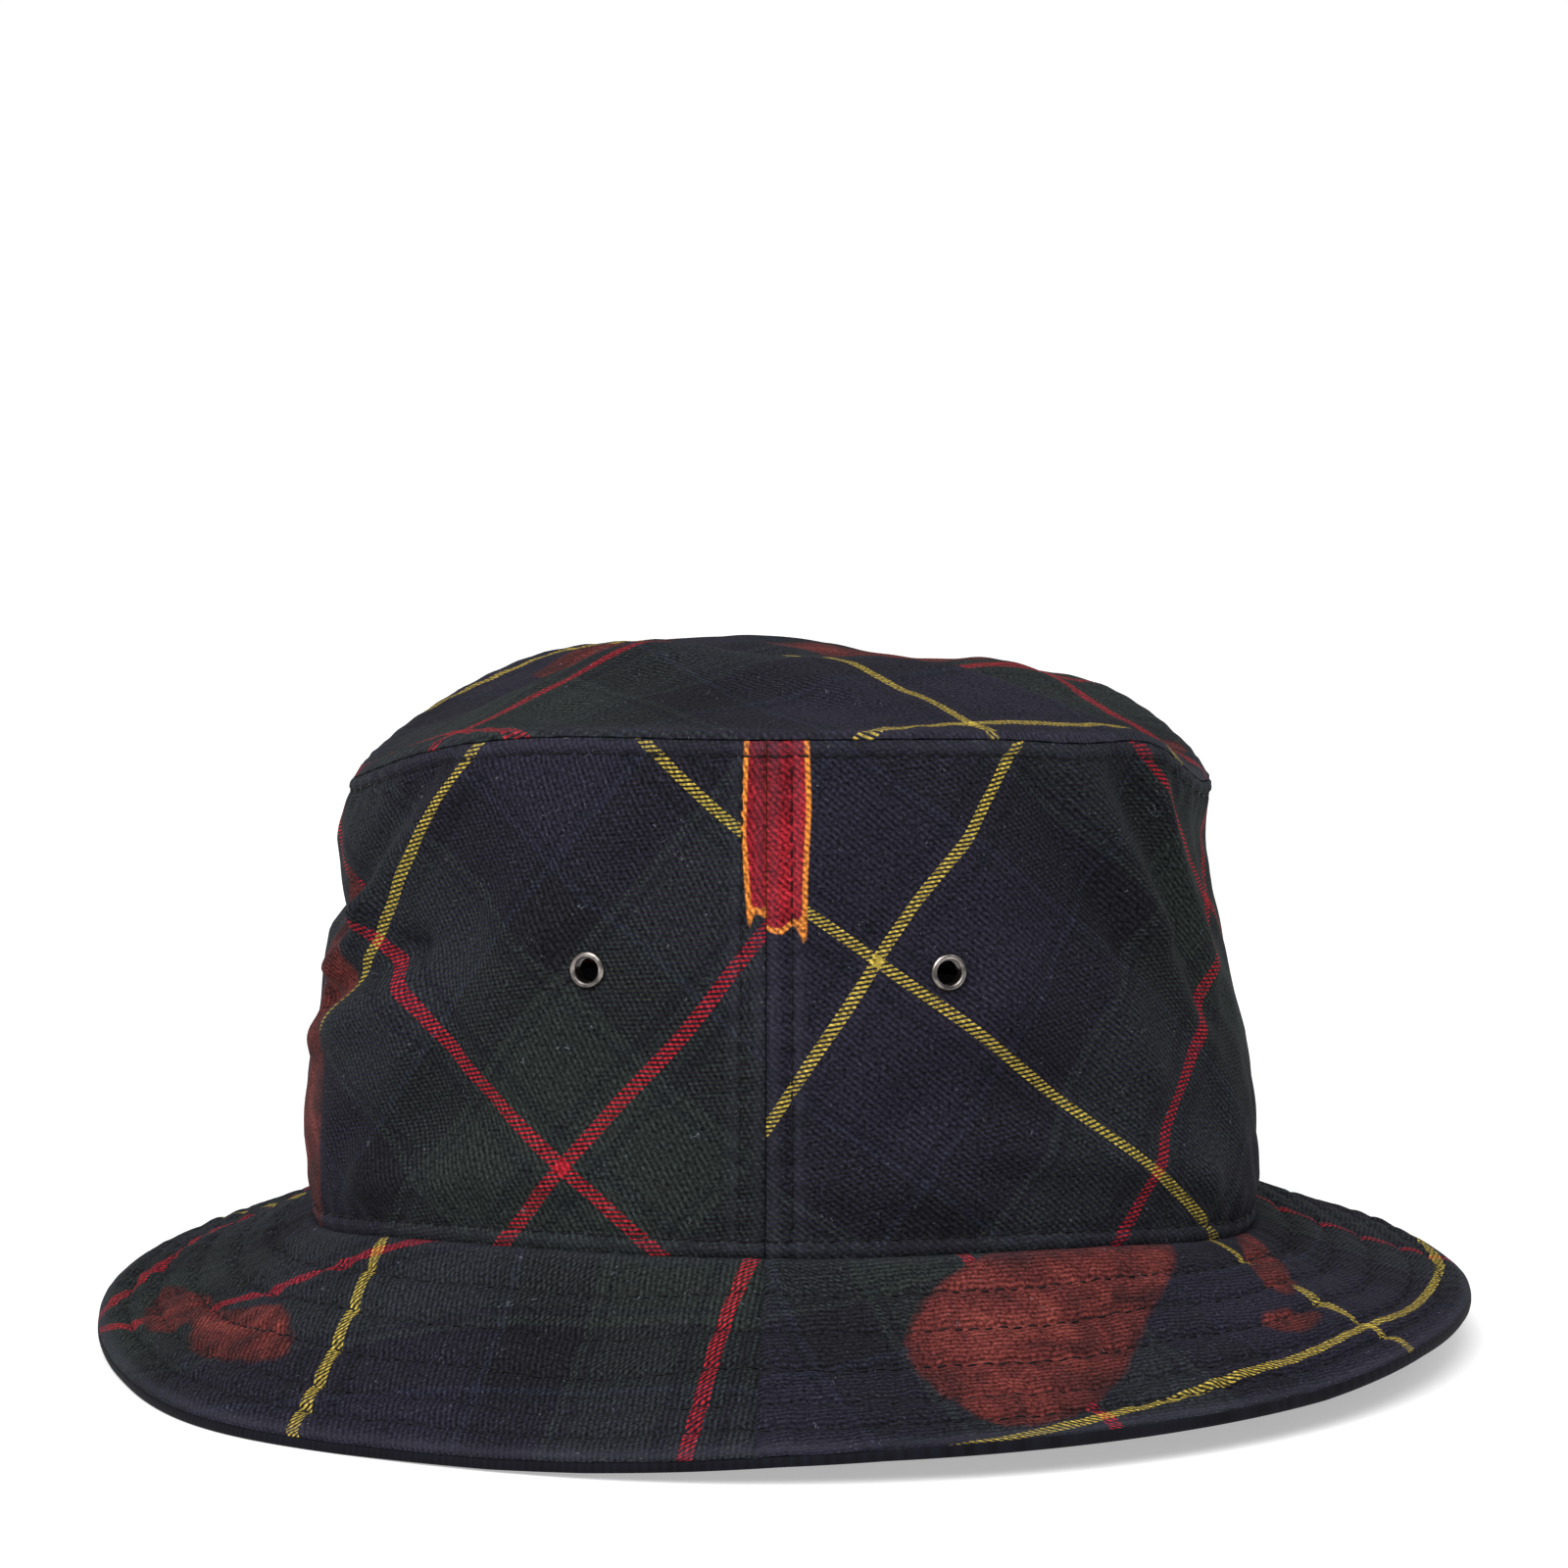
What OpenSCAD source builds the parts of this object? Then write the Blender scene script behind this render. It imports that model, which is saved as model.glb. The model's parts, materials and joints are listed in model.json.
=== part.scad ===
// Bucket hat of checked cotton twill, standing on its brim.
// +X is the hat's front, +Y its left, +Z up. The brim rests on z = 0.
// Every cloth surface is an oval ring; angles are in degrees round the oval from +X.

/* [Crown] */
// Half length of the crown where it meets the brim
crown_base_a = 98.5; // [94:0.5:103]
// Half width of the crown where it meets the brim
crown_base_b = 88; // [84:0.5:92]
// Half length of the crown at its top rim
crown_rim_a = 89.5; // [86:0.5:92]
// Half width of the crown at its top rim
crown_rim_b = 79; // [76:0.5:82]
// Height of the top rim at the hat's two sides
rim_height = 135.5; // [125:0.5:145]
// How much lower the top rim is at front and back
rim_dip = 18; // [0:1:24]
// Height of the middle of the tip above the side rims
tip_rise = 5; // [2:0.5:12]
// Thickness of the crown cloth with its facing
cloth_t = 1.2; // [0.8:0.1:1.6]

/* [Brim] */
// Half length of the brim's edge
brim_a = 143.5; // [138:0.5:150]
// Half width of the brim's edge
brim_b = 134; // [128:0.5:140]
// Height of the brim seam at the hat's two sides
seam_height = 34.5; // [28:0.5:40]
// How much lower the brim seam is at front and back
seam_dip = 9.5; // [0:0.5:14]
// Upright thickness of the whole brim, all layers
brim_t = 3.4; // [3.2:0.1:4]
// Number of evenly spaced stitch rows on the brim
row_count = 4; // [2:1:4]
// Distance between those stitch rows
row_pitch = 10.4; // [8:0.1:10.6]
// Distance of the last stitch row from the brim's edge
edge_row = 6.5; // [5:0.5:8]

/* [Sweatband and tapes] */
// Height of the sweatband as a share of the crown wall
band_share = 0.3; // [0.2:0.02:0.36]
// Thickness of the sweatband
band_t = 1; // [0.6:0.1:1.2]
// Thickness of the seam tapes
tape_t = 0.5; // [0.3:0.1:0.6]

/* [Eyelets] */
// Radius of the eyelet's hole
eyelet_r = 2.4; // [2:0.1:2.6]
// Radius of the eyelet's outer flange
flange_r = 3.8; // [3.5:0.1:4.2]
// Height of the eyelets as a share of the crown wall
eyelet_share = 0.56; // [0.5:0.01:0.62]

/* [Care label] */
// Width of the care label
label_w = 26; // [20:1:26]
// Length of the care label below its sewn edge
label_h = 30; // [20:1:32]
// Thickness of the care label
label_t = 0.6; // [0.3:0.1:0.6]
// Height of the care label's sewn edge
label_z = 60; // [56:1:66]

/* [Hidden] */

// Facets on each half of the oval, and the angle of one facet
half_steps = 20;
step = 180 / half_steps;
// Half of the slit between two panels at a side seam, in degrees
seam_slit = 0.04;
// Clear space between neighbouring layers of cloth
gap = 0.15;
// The crown wall runs this far down inside the brim's inner edge
turn_in = 3;
// Side seams, and the eyelets half way along a facet on each side of them
right_seam = -90;
left_seam = 90;
eyelet_turn = 2.5 * step;
// Rows of facets up the crown wall, with the eyelets clear of the row edges
wall_rows = [0, 0.42, 0.7, 1];
// Thread section, as width on the cloth and height above it
thread_w = 0.5;
thread_h = 0.3;
// Distance of the rim row, the seam row and the side seam rows from their edges
edge_stitch = 3;
seam_stitch = 5;
// Levels of the brim layers below its top face
upper_t = 0.27 * brim_t;
core_t = 0.35 * brim_t;
layer_gap = 0.1;
brim_slant = norm([brim_b - crown_base_b, seam_height - brim_t]);
brim_flat = 0.96;
stitch_shares = concat(
    [for (k = [1:row_count]) k * row_pitch / brim_slant],
    [1 - edge_row / brim_slant]
);
brim_rows = concat(
    [1, brim_flat],
    [for (k = [row_count:-1:0]) stitch_shares[k]],
    [0]
);
// Eyelet levels along its own axis, 0 at the wall's outer face
flange_t = 0.8;
barrel_r = eyelet_r + 0.35;
barrel_play = 0.1;
washer_t = 0.4;
lip_t = 0.4;
washer_top = -cloth_t - barrel_play;
lip_top = washer_top - washer_t - barrel_play;
$fn = 48;

tartan = [0.17, 0.18, 0.22];
navy = [0.10, 0.11, 0.16];
lining = [0.75, 0.74, 0.70];
tape = [0.08, 0.08, 0.11];
gunmetal = [0.36, 0.35, 0.34];
thread = [0.12, 0.12, 0.18];
label_white = [0.85, 0.85, 0.82];

function mix(p, q, f) = p + (q - p) * f;
function unit(v) = v / norm(v);

// Point on the oval with half axes a and b, moved out by o along its normal
function oval(a, b, t, o = 0) =
    let (n = unit([cos(t) / a, sin(t) / b]))
    [a * cos(t) + o * n.x, b * sin(t) + o * n.y];

// Heights of the brim seam and of the top rim, lower at front and back
function seam_z(t) = seam_height - seam_dip * pow(cos(t), 4);
function rim_z(t) = rim_height - rim_dip * pow(cos(t), 4);

// Crown wall: s runs from its turned in lower edge to the top rim, o outwards
function wall(t, s, o) =
    let (low = oval(crown_base_a, crown_base_b, t, o), high = oval(crown_rim_a, crown_rim_b, t, o))
    let (flat = mix(low, high, s))
    [flat.x, flat.y, mix(seam_z(t) - turn_in, rim_z(t), s)];

// Brim top face: q runs from the seam to the edge, down is the depth below it
function brim(t, q, down) =
    let (flat = mix(oval(crown_base_a, crown_base_b, t, gap), oval(brim_a, brim_b, t), q))
    [flat.x, flat.y, mix(seam_z(t), brim_t, q) - down];

// Tip: r runs from its middle to the rim, up is the height above the wall's edge
function tip(t, r, up) =
    let (flat = oval(crown_rim_a, crown_rim_b, t) * r)
    [flat.x, flat.y, mix(rim_height + tip_rise, rim_z(t), pow(r, 2)) + up];

// A point of the wall part of the way along the flat facet beside angle t
function beside(t, f, s, o) = mix(wall(t, s, o), wall(t + sign(f) * step, s, o), abs(f));

function half_turn(start) =
    [for (i = [0:half_steps]) start + mix(seam_slit, 180 - seam_slit, i / half_steps)];
function full_turn() = [for (i = [0:2 * half_steps - 1]) right_seam + i * step];

function quad(a, b, c, d) = [[a, b, c], [a, c, d]];

// Closed solid between two grids of points. Columns go round the hat, rows go up
// or inwards. A closed ring has no end faces, and a disc adds its two middle points.
module between(outer, inner, closed = false, middles = []) {
    columns = len(outer);
    rows = len(outer[0]);
    spans = closed ? columns : columns - 1;
    top = rows - 1;
    end = columns - 1;
    disc = len(middles) > 0;
    size = columns * rows;
    function o(i, j) = (i % columns) * rows + j;
    function n(i, j) = size + o(i, j);
    points = concat([for (column = outer) each column], [for (column = inner) each column], middles);
    skins = [for (i = [0:spans - 1], j = [0:top - 1]) each concat(
        quad(o(i, j), o(i, j + 1), o(i + 1, j + 1), o(i + 1, j)),
        quad(n(i, j), n(i + 1, j), n(i + 1, j + 1), n(i, j + 1))
    )];
    low_edge = [for (i = [0:spans - 1]) each quad(o(i, 0), o(i + 1, 0), n(i + 1, 0), n(i, 0))];
    high_edge = [for (i = [0:spans - 1]) each disc
        ? [[o(i, top), 2 * size, o(i + 1, top)], [n(i, top), n(i + 1, top), 2 * size + 1]]
        : quad(o(i + 1, top), o(i, top), n(i, top), n(i + 1, top))
    ];
    ends = closed ? [] : [for (j = [0:top - 1]) each concat(
        quad(o(0, j + 1), o(0, j), n(0, j), n(0, j + 1)),
        quad(o(end, j), o(end, j + 1), n(end, j + 1), n(end, j))
    )];
    polyhedron(points, concat(skins, low_edge, high_edge, ends));
}

// Ring or half ring of cloth on the crown wall, between two offsets and some rows
module wall_cloth(turns, rows, outside, inside, closed = false) {
    between(
        [for (t = turns) [for (s = rows) wall(t, s, outside)]],
        [for (t = turns) [for (s = rows) wall(t, s, inside)]],
        closed
    );
}

// One layer of half the brim, between two depths below the top face
module brim_layer(start, high, low) {
    between(
        [for (t = half_turn(start)) [for (q = brim_rows) brim(t, q, high)]],
        [for (t = half_turn(start)) [for (q = brim_rows) brim(t, q, low)]]
    );
}

// Under side of half the brim, flat on the table along its outer edge
module brim_bottom(start) {
    high = upper_t + core_t + 2 * layer_gap;
    function rest(p, q) = q >= brim_flat ? [p.x, p.y, 0] : p;
    between(
        [for (t = half_turn(start)) [for (q = brim_rows) brim(t, q, high)]],
        [for (t = half_turn(start)) [for (q = brim_rows) rest(brim(t, q, brim_t), q)]]
    );
}

// Puts its children on the wall's outer face at an eyelet, +Z pointing outwards
module at_eyelet(t) {
    left = wall(t - step / 2, eyelet_share, 0);
    right = wall(t + step / 2, eyelet_share, 0);
    above = (wall(t - step / 2, 0.7, 0) + wall(t + step / 2, 0.7, 0)) / 2;
    centre = (left + right) / 2;
    out = unit(cross(right - left, above - centre));
    translate(centre) rotate(a = acos(out.z), v = [-out.y, out.x, 0]) children();
}

module crown_tip() {
    rows = [1, 0.92, 0.76, 0.52, 0.26];
    low = gap;
    high = gap + cloth_t;
    color(tartan) between(
        [for (t = full_turn()) [for (r = rows) tip(t, r, high)]],
        [for (t = full_turn()) [for (r = rows) tip(t, r, low)]],
        closed = true,
        middles = [tip(0, 0, high), tip(0, 0, low)]
    );
}

// Front or back half of the crown wall, with a hole for each eyelet's barrel
module crown_panel(start, eyelets) {
    color(tartan) difference() {
        wall_cloth(half_turn(start), wall_rows, 0, -cloth_t);
        for (t = eyelets) at_eyelet(t)
            translate([0, 0, -4]) cylinder(h = 8, r = barrel_r + barrel_play);
    }
}

module sweatband() {
    outside = -cloth_t - tape_t - 2 * gap;
    color(navy) wall_cloth(full_turn(), [0, band_share], outside, outside - band_t, closed = true);
}

module tip_seam_tape() {
    outside = -cloth_t - gap;
    color(tape) wall_cloth(full_turn(), [0.94, 0.995], outside, outside - tape_t, closed = true);
}

module side_seam_tape(seam) {
    rows = [0.01, 0.93];
    outside = -cloth_t - gap;
    color(tape) between(
        [for (f = [-0.38, 0, 0.38]) [for (s = rows) beside(seam, f, s, outside)]],
        [for (f = [-0.38, 0, 0.38]) [for (s = rows) beside(seam, f, s, outside - tape_t)]]
    );
}

module eyelet(t) {
    low = lip_top - lip_t;
    high = barrel_play + flange_t;
    color(gunmetal) at_eyelet(t) rotate_extrude() polygon([
        [eyelet_r, low],
        [barrel_r + 0.6, low],
        [barrel_r + 0.6, lip_top],
        [barrel_r, lip_top],
        [barrel_r, barrel_play],
        [flange_r, barrel_play],
        [flange_r, barrel_play + 0.35],
        [flange_r - 0.45, high],
        [eyelet_r, high]
    ]);
}

module washer(t) {
    color(gunmetal) at_eyelet(t) rotate_extrude() polygon([
        [barrel_r + barrel_play, washer_top - washer_t],
        [flange_r, washer_top - washer_t],
        [flange_r, washer_top],
        [barrel_r + barrel_play, washer_top]
    ]);
}

// A ring of thread lying on the crown wall at one share of its height
module wall_thread(s) {
    half = thread_w / 2 / (rim_height - seam_height);
    wall_cloth(full_turn(), [s - half, s + half], gap + thread_h, gap, closed = true);
}

// A straight run of thread up the crown wall beside a side seam
module seam_thread(seam, f) {
    half = sign(f) * 0.5 * thread_w / norm(wall(seam + step, 0, 0) - wall(seam, 0, 0));
    ordered = f > 0 ? [f - half, f + half] : [f + half, f - half];
    between(
        [for (g = ordered) [for (s = [0.08, 0.95]) beside(seam, g, s, gap + thread_h)]],
        [for (g = ordered) [for (s = [0.08, 0.95]) beside(seam, g, s, gap)]]
    );
}

module crown_stitching() {
    wall_h = rim_height - seam_height + turn_in;
    side = seam_stitch / norm(wall(left_seam + step, 0.5, 0) - wall(left_seam, 0.5, 0));
    color(thread) {
        wall_thread((turn_in + edge_stitch) / wall_h);
        wall_thread(1 - edge_stitch / wall_h);
        for (seam = [right_seam, left_seam], f = [-side, side]) seam_thread(seam, f);
    }
}

// Rings of thread along the brim's stitch rows
module brim_stitching() {
    half = thread_w / 2 / brim_slant;
    color(thread) for (q = stitch_shares) between(
        [for (t = full_turn()) [for (f = [q + half, q - half]) brim(t, f, -gap - thread_h)]],
        [for (t = full_turn()) [for (f = [q + half, q - half]) brim(t, f, -gap)]],
        closed = true
    );
}

// X of the wall's back facets at a distance y from the middle line
function back_x(y, s, o) =
    let (side = wall(180 - step, s, o), middle = wall(180, s, o))
    mix(middle, side, y / side.y).x;

// The label's fold line, inside the back of the crown and clear of the sweatband
band_inside = -cloth_t - tape_t - 2 * gap - band_t;
label_play = 0.4;
label_x = back_x(label_w / 2, band_share, band_inside) + label_play + label_t / 2;

// Sewn margin of the care label, from the crown wall to the label's fold
module care_label_margin() {
    s = (label_z - seam_z(180) + turn_in) / (rim_z(180) - seam_z(180) + turn_in);
    inner_x = label_x - label_t / 2 - label_play;
    half = label_w / 2;
    outline = [
        [inner_x, half],
        [back_x(half, s, -cloth_t - gap), half],
        [back_x(0, s, -cloth_t - gap), 0],
        [back_x(half, s, -cloth_t - gap), -half],
        [inner_x, -half]
    ];
    color(label_white) translate([0, 0, label_z - label_t / 2])
        linear_extrude(height = label_t) polygon(outline);
}

// Care label, a flap that hangs from its fold line
module care_label() {
    fold_play = 0.3;
    color(label_white) translate([label_x - label_t / 2, -label_w / 2, label_z - fold_play - label_h])
        cube([label_t, label_w, label_h]);
}

crown_tip();
crown_panel(right_seam, [right_seam + eyelet_turn, left_seam - eyelet_turn]);  // crown_front_panel
crown_panel(left_seam, [left_seam + eyelet_turn, right_seam - eyelet_turn]);  // crown_back_panel
color(tartan) brim_layer(right_seam, 0, upper_t);  // brim_upper_front
color(tartan) brim_layer(left_seam, 0, upper_t);  // brim_upper_back
color(lining) brim_layer(right_seam, upper_t + layer_gap, upper_t + layer_gap + core_t);  // brim_interlining_front
color(lining) brim_layer(left_seam, upper_t + layer_gap, upper_t + layer_gap + core_t);  // brim_interlining_back
color(navy) brim_bottom(right_seam);  // brim_under_front
color(navy) brim_bottom(left_seam);  // brim_under_back
sweatband();
tip_seam_tape();
side_seam_tape(right_seam);  // side_seam_tape_right
side_seam_tape(left_seam);  // side_seam_tape_left
eyelet(right_seam + eyelet_turn);  // eyelet_front_right
eyelet(right_seam - eyelet_turn);  // eyelet_back_right
eyelet(left_seam - eyelet_turn);  // eyelet_front_left
eyelet(left_seam + eyelet_turn);  // eyelet_back_left
washer(right_seam + eyelet_turn);  // washer_front_right
washer(right_seam - eyelet_turn);  // washer_back_right
washer(left_seam - eyelet_turn);  // washer_front_left
washer(left_seam + eyelet_turn);  // washer_back_left
crown_stitching();
brim_stitching();
care_label_margin();
care_label();
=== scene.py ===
"""Bucket hat of checked cotton twill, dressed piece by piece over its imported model.

Metres throughout. +X is the hat's front, +Y its left, +Z up, and the floor is z = 0.
Angles round the oval are in degrees from +X, anticlockwise seen from above.
"""

import json
import logging
import math
import random
from dataclasses import dataclass, field
from enum import Enum
from typing import Callable, Sequence

import bpy
import numpy as np
from mathutils import Matrix, Vector


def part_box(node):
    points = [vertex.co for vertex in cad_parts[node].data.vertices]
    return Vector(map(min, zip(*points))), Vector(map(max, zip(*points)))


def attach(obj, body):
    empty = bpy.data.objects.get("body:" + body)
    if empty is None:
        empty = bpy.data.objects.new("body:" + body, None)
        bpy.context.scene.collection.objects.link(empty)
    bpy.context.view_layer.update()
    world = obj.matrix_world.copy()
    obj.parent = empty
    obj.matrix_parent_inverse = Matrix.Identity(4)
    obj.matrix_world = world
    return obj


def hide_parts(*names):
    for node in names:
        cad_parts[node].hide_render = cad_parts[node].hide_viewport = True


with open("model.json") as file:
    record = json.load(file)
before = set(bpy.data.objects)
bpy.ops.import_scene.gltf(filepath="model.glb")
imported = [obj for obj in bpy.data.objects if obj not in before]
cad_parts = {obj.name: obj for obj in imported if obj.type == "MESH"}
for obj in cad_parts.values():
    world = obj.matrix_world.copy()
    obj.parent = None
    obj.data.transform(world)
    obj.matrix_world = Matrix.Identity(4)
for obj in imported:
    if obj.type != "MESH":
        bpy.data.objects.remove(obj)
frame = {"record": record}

LOG = logging.getLogger("bucket_hat")
MM = 0.001
CUT_MAP = "cut"
PATCH_SHADE = "patch"
RIBBON_SHADE = "ribbon"
# How much lighter the cloth is painted along seam and edge ridges: partly wear, partly painted highlight on the
# ridges
WEAR_AND_HIGHLIGHT_SHADE = "wear_and_highlight"
FAR_AWAY = 1.0
WAVE_UNIT = math.pi / 10
NODE_STEP, ROW_STEP = 220, 420
FOLD_GAIN = 1.2
EYELET_FACE = 0.65 * MM
EYELET_PRESSED = 9 * MM
BRIM_LEAN, BRIM_RISE = 0.56, 0.83
UNDER_TUCK = 0.18 * MM

Array = np.ndarray
Colour = tuple[float, float, float, float]


def tone(red: float, green: float, blue: float, lift: float = 1.0) -> Colour:
    """Turns an 8-bit display colour into a linear shader colour.

    Args:
        red: Red from 0 to 255.
        green: Green from 0 to 255.
        blue: Blue from 0 to 255.
        lift: Factor on the linear colour.

    Returns:
        Linear red, green, blue and an alpha of 1.
    """
    linear = [((c / 255 + 0.055) / 1.055) ** 2.4 if c > 10 else c / 255 / 12.92 for c in (red, green, blue)]
    return (min(linear[0] * lift, 1.0), min(linear[1] * lift, 1.0), min(linear[2] * lift, 1.0), 1.0)


class Half(Enum):
    """Which half of the hat a panel covers, as the direction away from the right side seam."""

    FRONT = 1
    BACK = -1

    @property
    def word(self) -> str:
        """Its name as the pieces spell it."""
        return self.name.lower()

    def turn(self, share: Array, slit: float) -> Array:
        """Angle in degrees at a share of the way along it, a slit short of both side seams."""
        return -90.0 * self.value + slit + (180 - 2 * slit) * share


class Side(Enum):
    """A side seam, as its angle round the oval."""

    RIGHT = -90.0
    LEFT = 90.0


# ---------------------------------------------------------------- small sums

def bell(x: Array, width: float) -> Array:
    """Smooth bump of height 1 at x = 0 that is small beyond width."""
    return np.exp(-((x / width) ** 2))


def ramp(x: Array, start: float, end: float) -> Array:
    """Smooth step from 0 at start to 1 at end."""
    f = np.clip((x - start) / (end - start), 0.0, 1.0)
    return f * f * (3 - 2 * f)


def turn_between(t: Array, middle: float) -> Array:
    """Signed angle in degrees from middle to t, from -180 to 180."""
    return (t - middle + 180.0) % 360.0 - 180.0


def ripple(x: Array, y: Array, length: float, seed: int, waves: int = 7) -> Array:
    """Seeded, smooth, uneven surface noise between about -1 and 1.

    Args:
        x: First flat coordinate.
        y: Second flat coordinate.
        length: Typical length from crest to crest, in the units of x and y.
        seed: Chooses the directions and phases.
        waves: How many plane waves are summed.

    Returns:
        The height at each point.
    """
    draw = random.Random(seed)
    total = np.zeros(np.broadcast(x, y).shape)
    for _ in range(waves):
        heading = draw.uniform(0, math.pi)
        pitch = length * draw.uniform(0.7, 1.6)
        phase = draw.uniform(0, 2 * math.pi)
        total = total + np.sin(2 * math.pi * (x * math.cos(heading) + y * math.sin(heading)) / pitch + phase)
    return total / math.sqrt(waves * 2.2)


# Height, middle in x and y, and reach in x and y of each swell of the tip, in millimetres
TIP_SWELLS = (
    (4.4, 4, -27, 56, 21),
    (5.0, -33, -16, 20, 20),
    (-2.6, 14, 14, 34, 17),
    (1.4, -4, 58, 26, 14),
    (-1.8, 62, 20, 16, 18),
    (1.1, -62, -24, 14, 16),
)


@dataclass(frozen=True)
class Fold:
    """A straight ridge or valley in the crown wall, in millimetres from a side seam and above the brim seam."""

    start: tuple[float, float]
    end: tuple[float, float]
    width: float
    height: float

    def push(self, along: Array, up: Array) -> Array:
        """Outward push of the fold in metres at flat points in millimetres."""
        (ax, ay), (bx, by) = self.start, self.end
        dx, dy = bx - ax, by - ay
        f = np.clip(((along - ax) * dx + (up - ay) * dy) / (dx * dx + dy * dy), 0.0, 1.0)
        away = np.hypot(along - ax - f * dx, up - ay - f * dy)
        return self.height * MM * bell(away, self.width)


RIGHT_FOLDS = (
    Fold((-64, 100), (-100, 70), 5, 2.6),
    Fold((-100, 70), (-116, 58), 4, 2.2),
    Fold((-78, 99), (-112, 74), 5, -2.2),
    Fold((-84, 60), (-118, 52), 4, -2.6),
    Fold((-86, 50), (-120, 43), 6, 2.2),
    Fold((-50, 74), (-84, 58), 8, -1.2),
    Fold((-44, 60), (-80, 40), 7, 0.9),
    Fold((-40, 14), (-92, 11), 5, 1.3),
    Fold((-60, 26), (-100, 22), 6, -1.3),
    Fold((-30, 84), (-58, 92), 6, 0.9),
    Fold((58, 98), (80, 60), 5, -2.2),
    Fold((68, 99), (92, 64), 5, 2.2),
    Fold((84, 96), (108, 52), 6, -2.4),
    Fold((96, 92), (116, 60), 4, 1.6),
    Fold((72, 60), (84, 30), 6, 1.6),
    Fold((86, 56), (104, 30), 6, -1.4),
    Fold((26, 88), (56, 70), 8, 1.2),
    Fold((16, 58), (52, 66), 7, -0.9),
    Fold((22, 40), (52, 54), 8, 1.3),
    Fold((28, 26), (60, 34), 7, -0.9),
    Fold((45, 20), (100, 13), 5, 1.6),
    Fold((60, 30), (108, 24), 6, -1.2),
    Fold((12, 14), (44, 9), 5, 1.0),
    Fold((50, 100), (70, 40), 12, -1.6),
    Fold((36, 100), (54, 50), 10, 1.5),
    Fold((-20, 100), (-52, 66), 12, 1.4),
    Fold((-66, 70), (-74, 20), 10, -1.4),
)
LEFT_FOLDS = (
    Fold((24, 94), (66, 60), 6, -2.3),
    Fold((36, 96), (78, 66), 5, 2.0),
    Fold((60, 90), (112, 72), 7, 1.9),
    Fold((-28, 84), (-78, 52), 6, -2.2),
    Fold((-40, 92), (-92, 66), 5, 1.9),
    Fold((-58, 97), (-104, 62), 6, 2.0),
    Fold((-22, 30), (44, 20), 8, 1.5),
    Fold((-10, 56), (30, 44), 8, -1.1),
    Fold((80, 40), (118, 24), 7, -1.8),
    Fold((-90, 34), (-120, 60), 7, -1.6),
    Fold((30, 12), (84, 15), 5, 1.4),
    Fold((-84, 12), (-26, 14), 5, 1.4),
)


# ---------------------------------------------------------------- the hat's form

BACK_LEVELS = (22, 33, 38, 43, 54, 64, 80, 85, 90, 95, 105, 112, 118)
BACK_PUSH = (0.8, 2.2, 2.8, 3.8, 4.4, 3.8, 3.3, 2.9, -0.6, 0.6, 1.9, 1.6, 0.6)
FRONT_LEVELS = (22, 33, 43, 54, 64, 75, 85, 95, 105, 116)
FRONT_PUSH = (0.6, 2.2, 2.8, 2.8, 2.0, 0.0, -1.2, -2.6, -3.2, -2.6)
EDGE_TURNS = (
    -180, -170, -160, -150, -124, -111, -103, -95, -88, -80, -69, -56, -40, -33, -24, -12,
    0, 11, 28, 42, 60, 75, 95, 115, 130, 142, 157, 167, 173, 180,
)
EDGE_LIFTS = (
    3.0, 1.4, 0.3, 0, 0, 0.4, 1.2, 2.4, 3.6, 4.5, 5.0, 5.5, 6.0, 6.8, 7.8, 8.2,
    7.8, 7.3, 7.9, 8.2, 6.4, 2.6, 0, 2.4, 5.2, 6.2, 5.4, 4.6, 3.9, 3.0,
)


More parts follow.
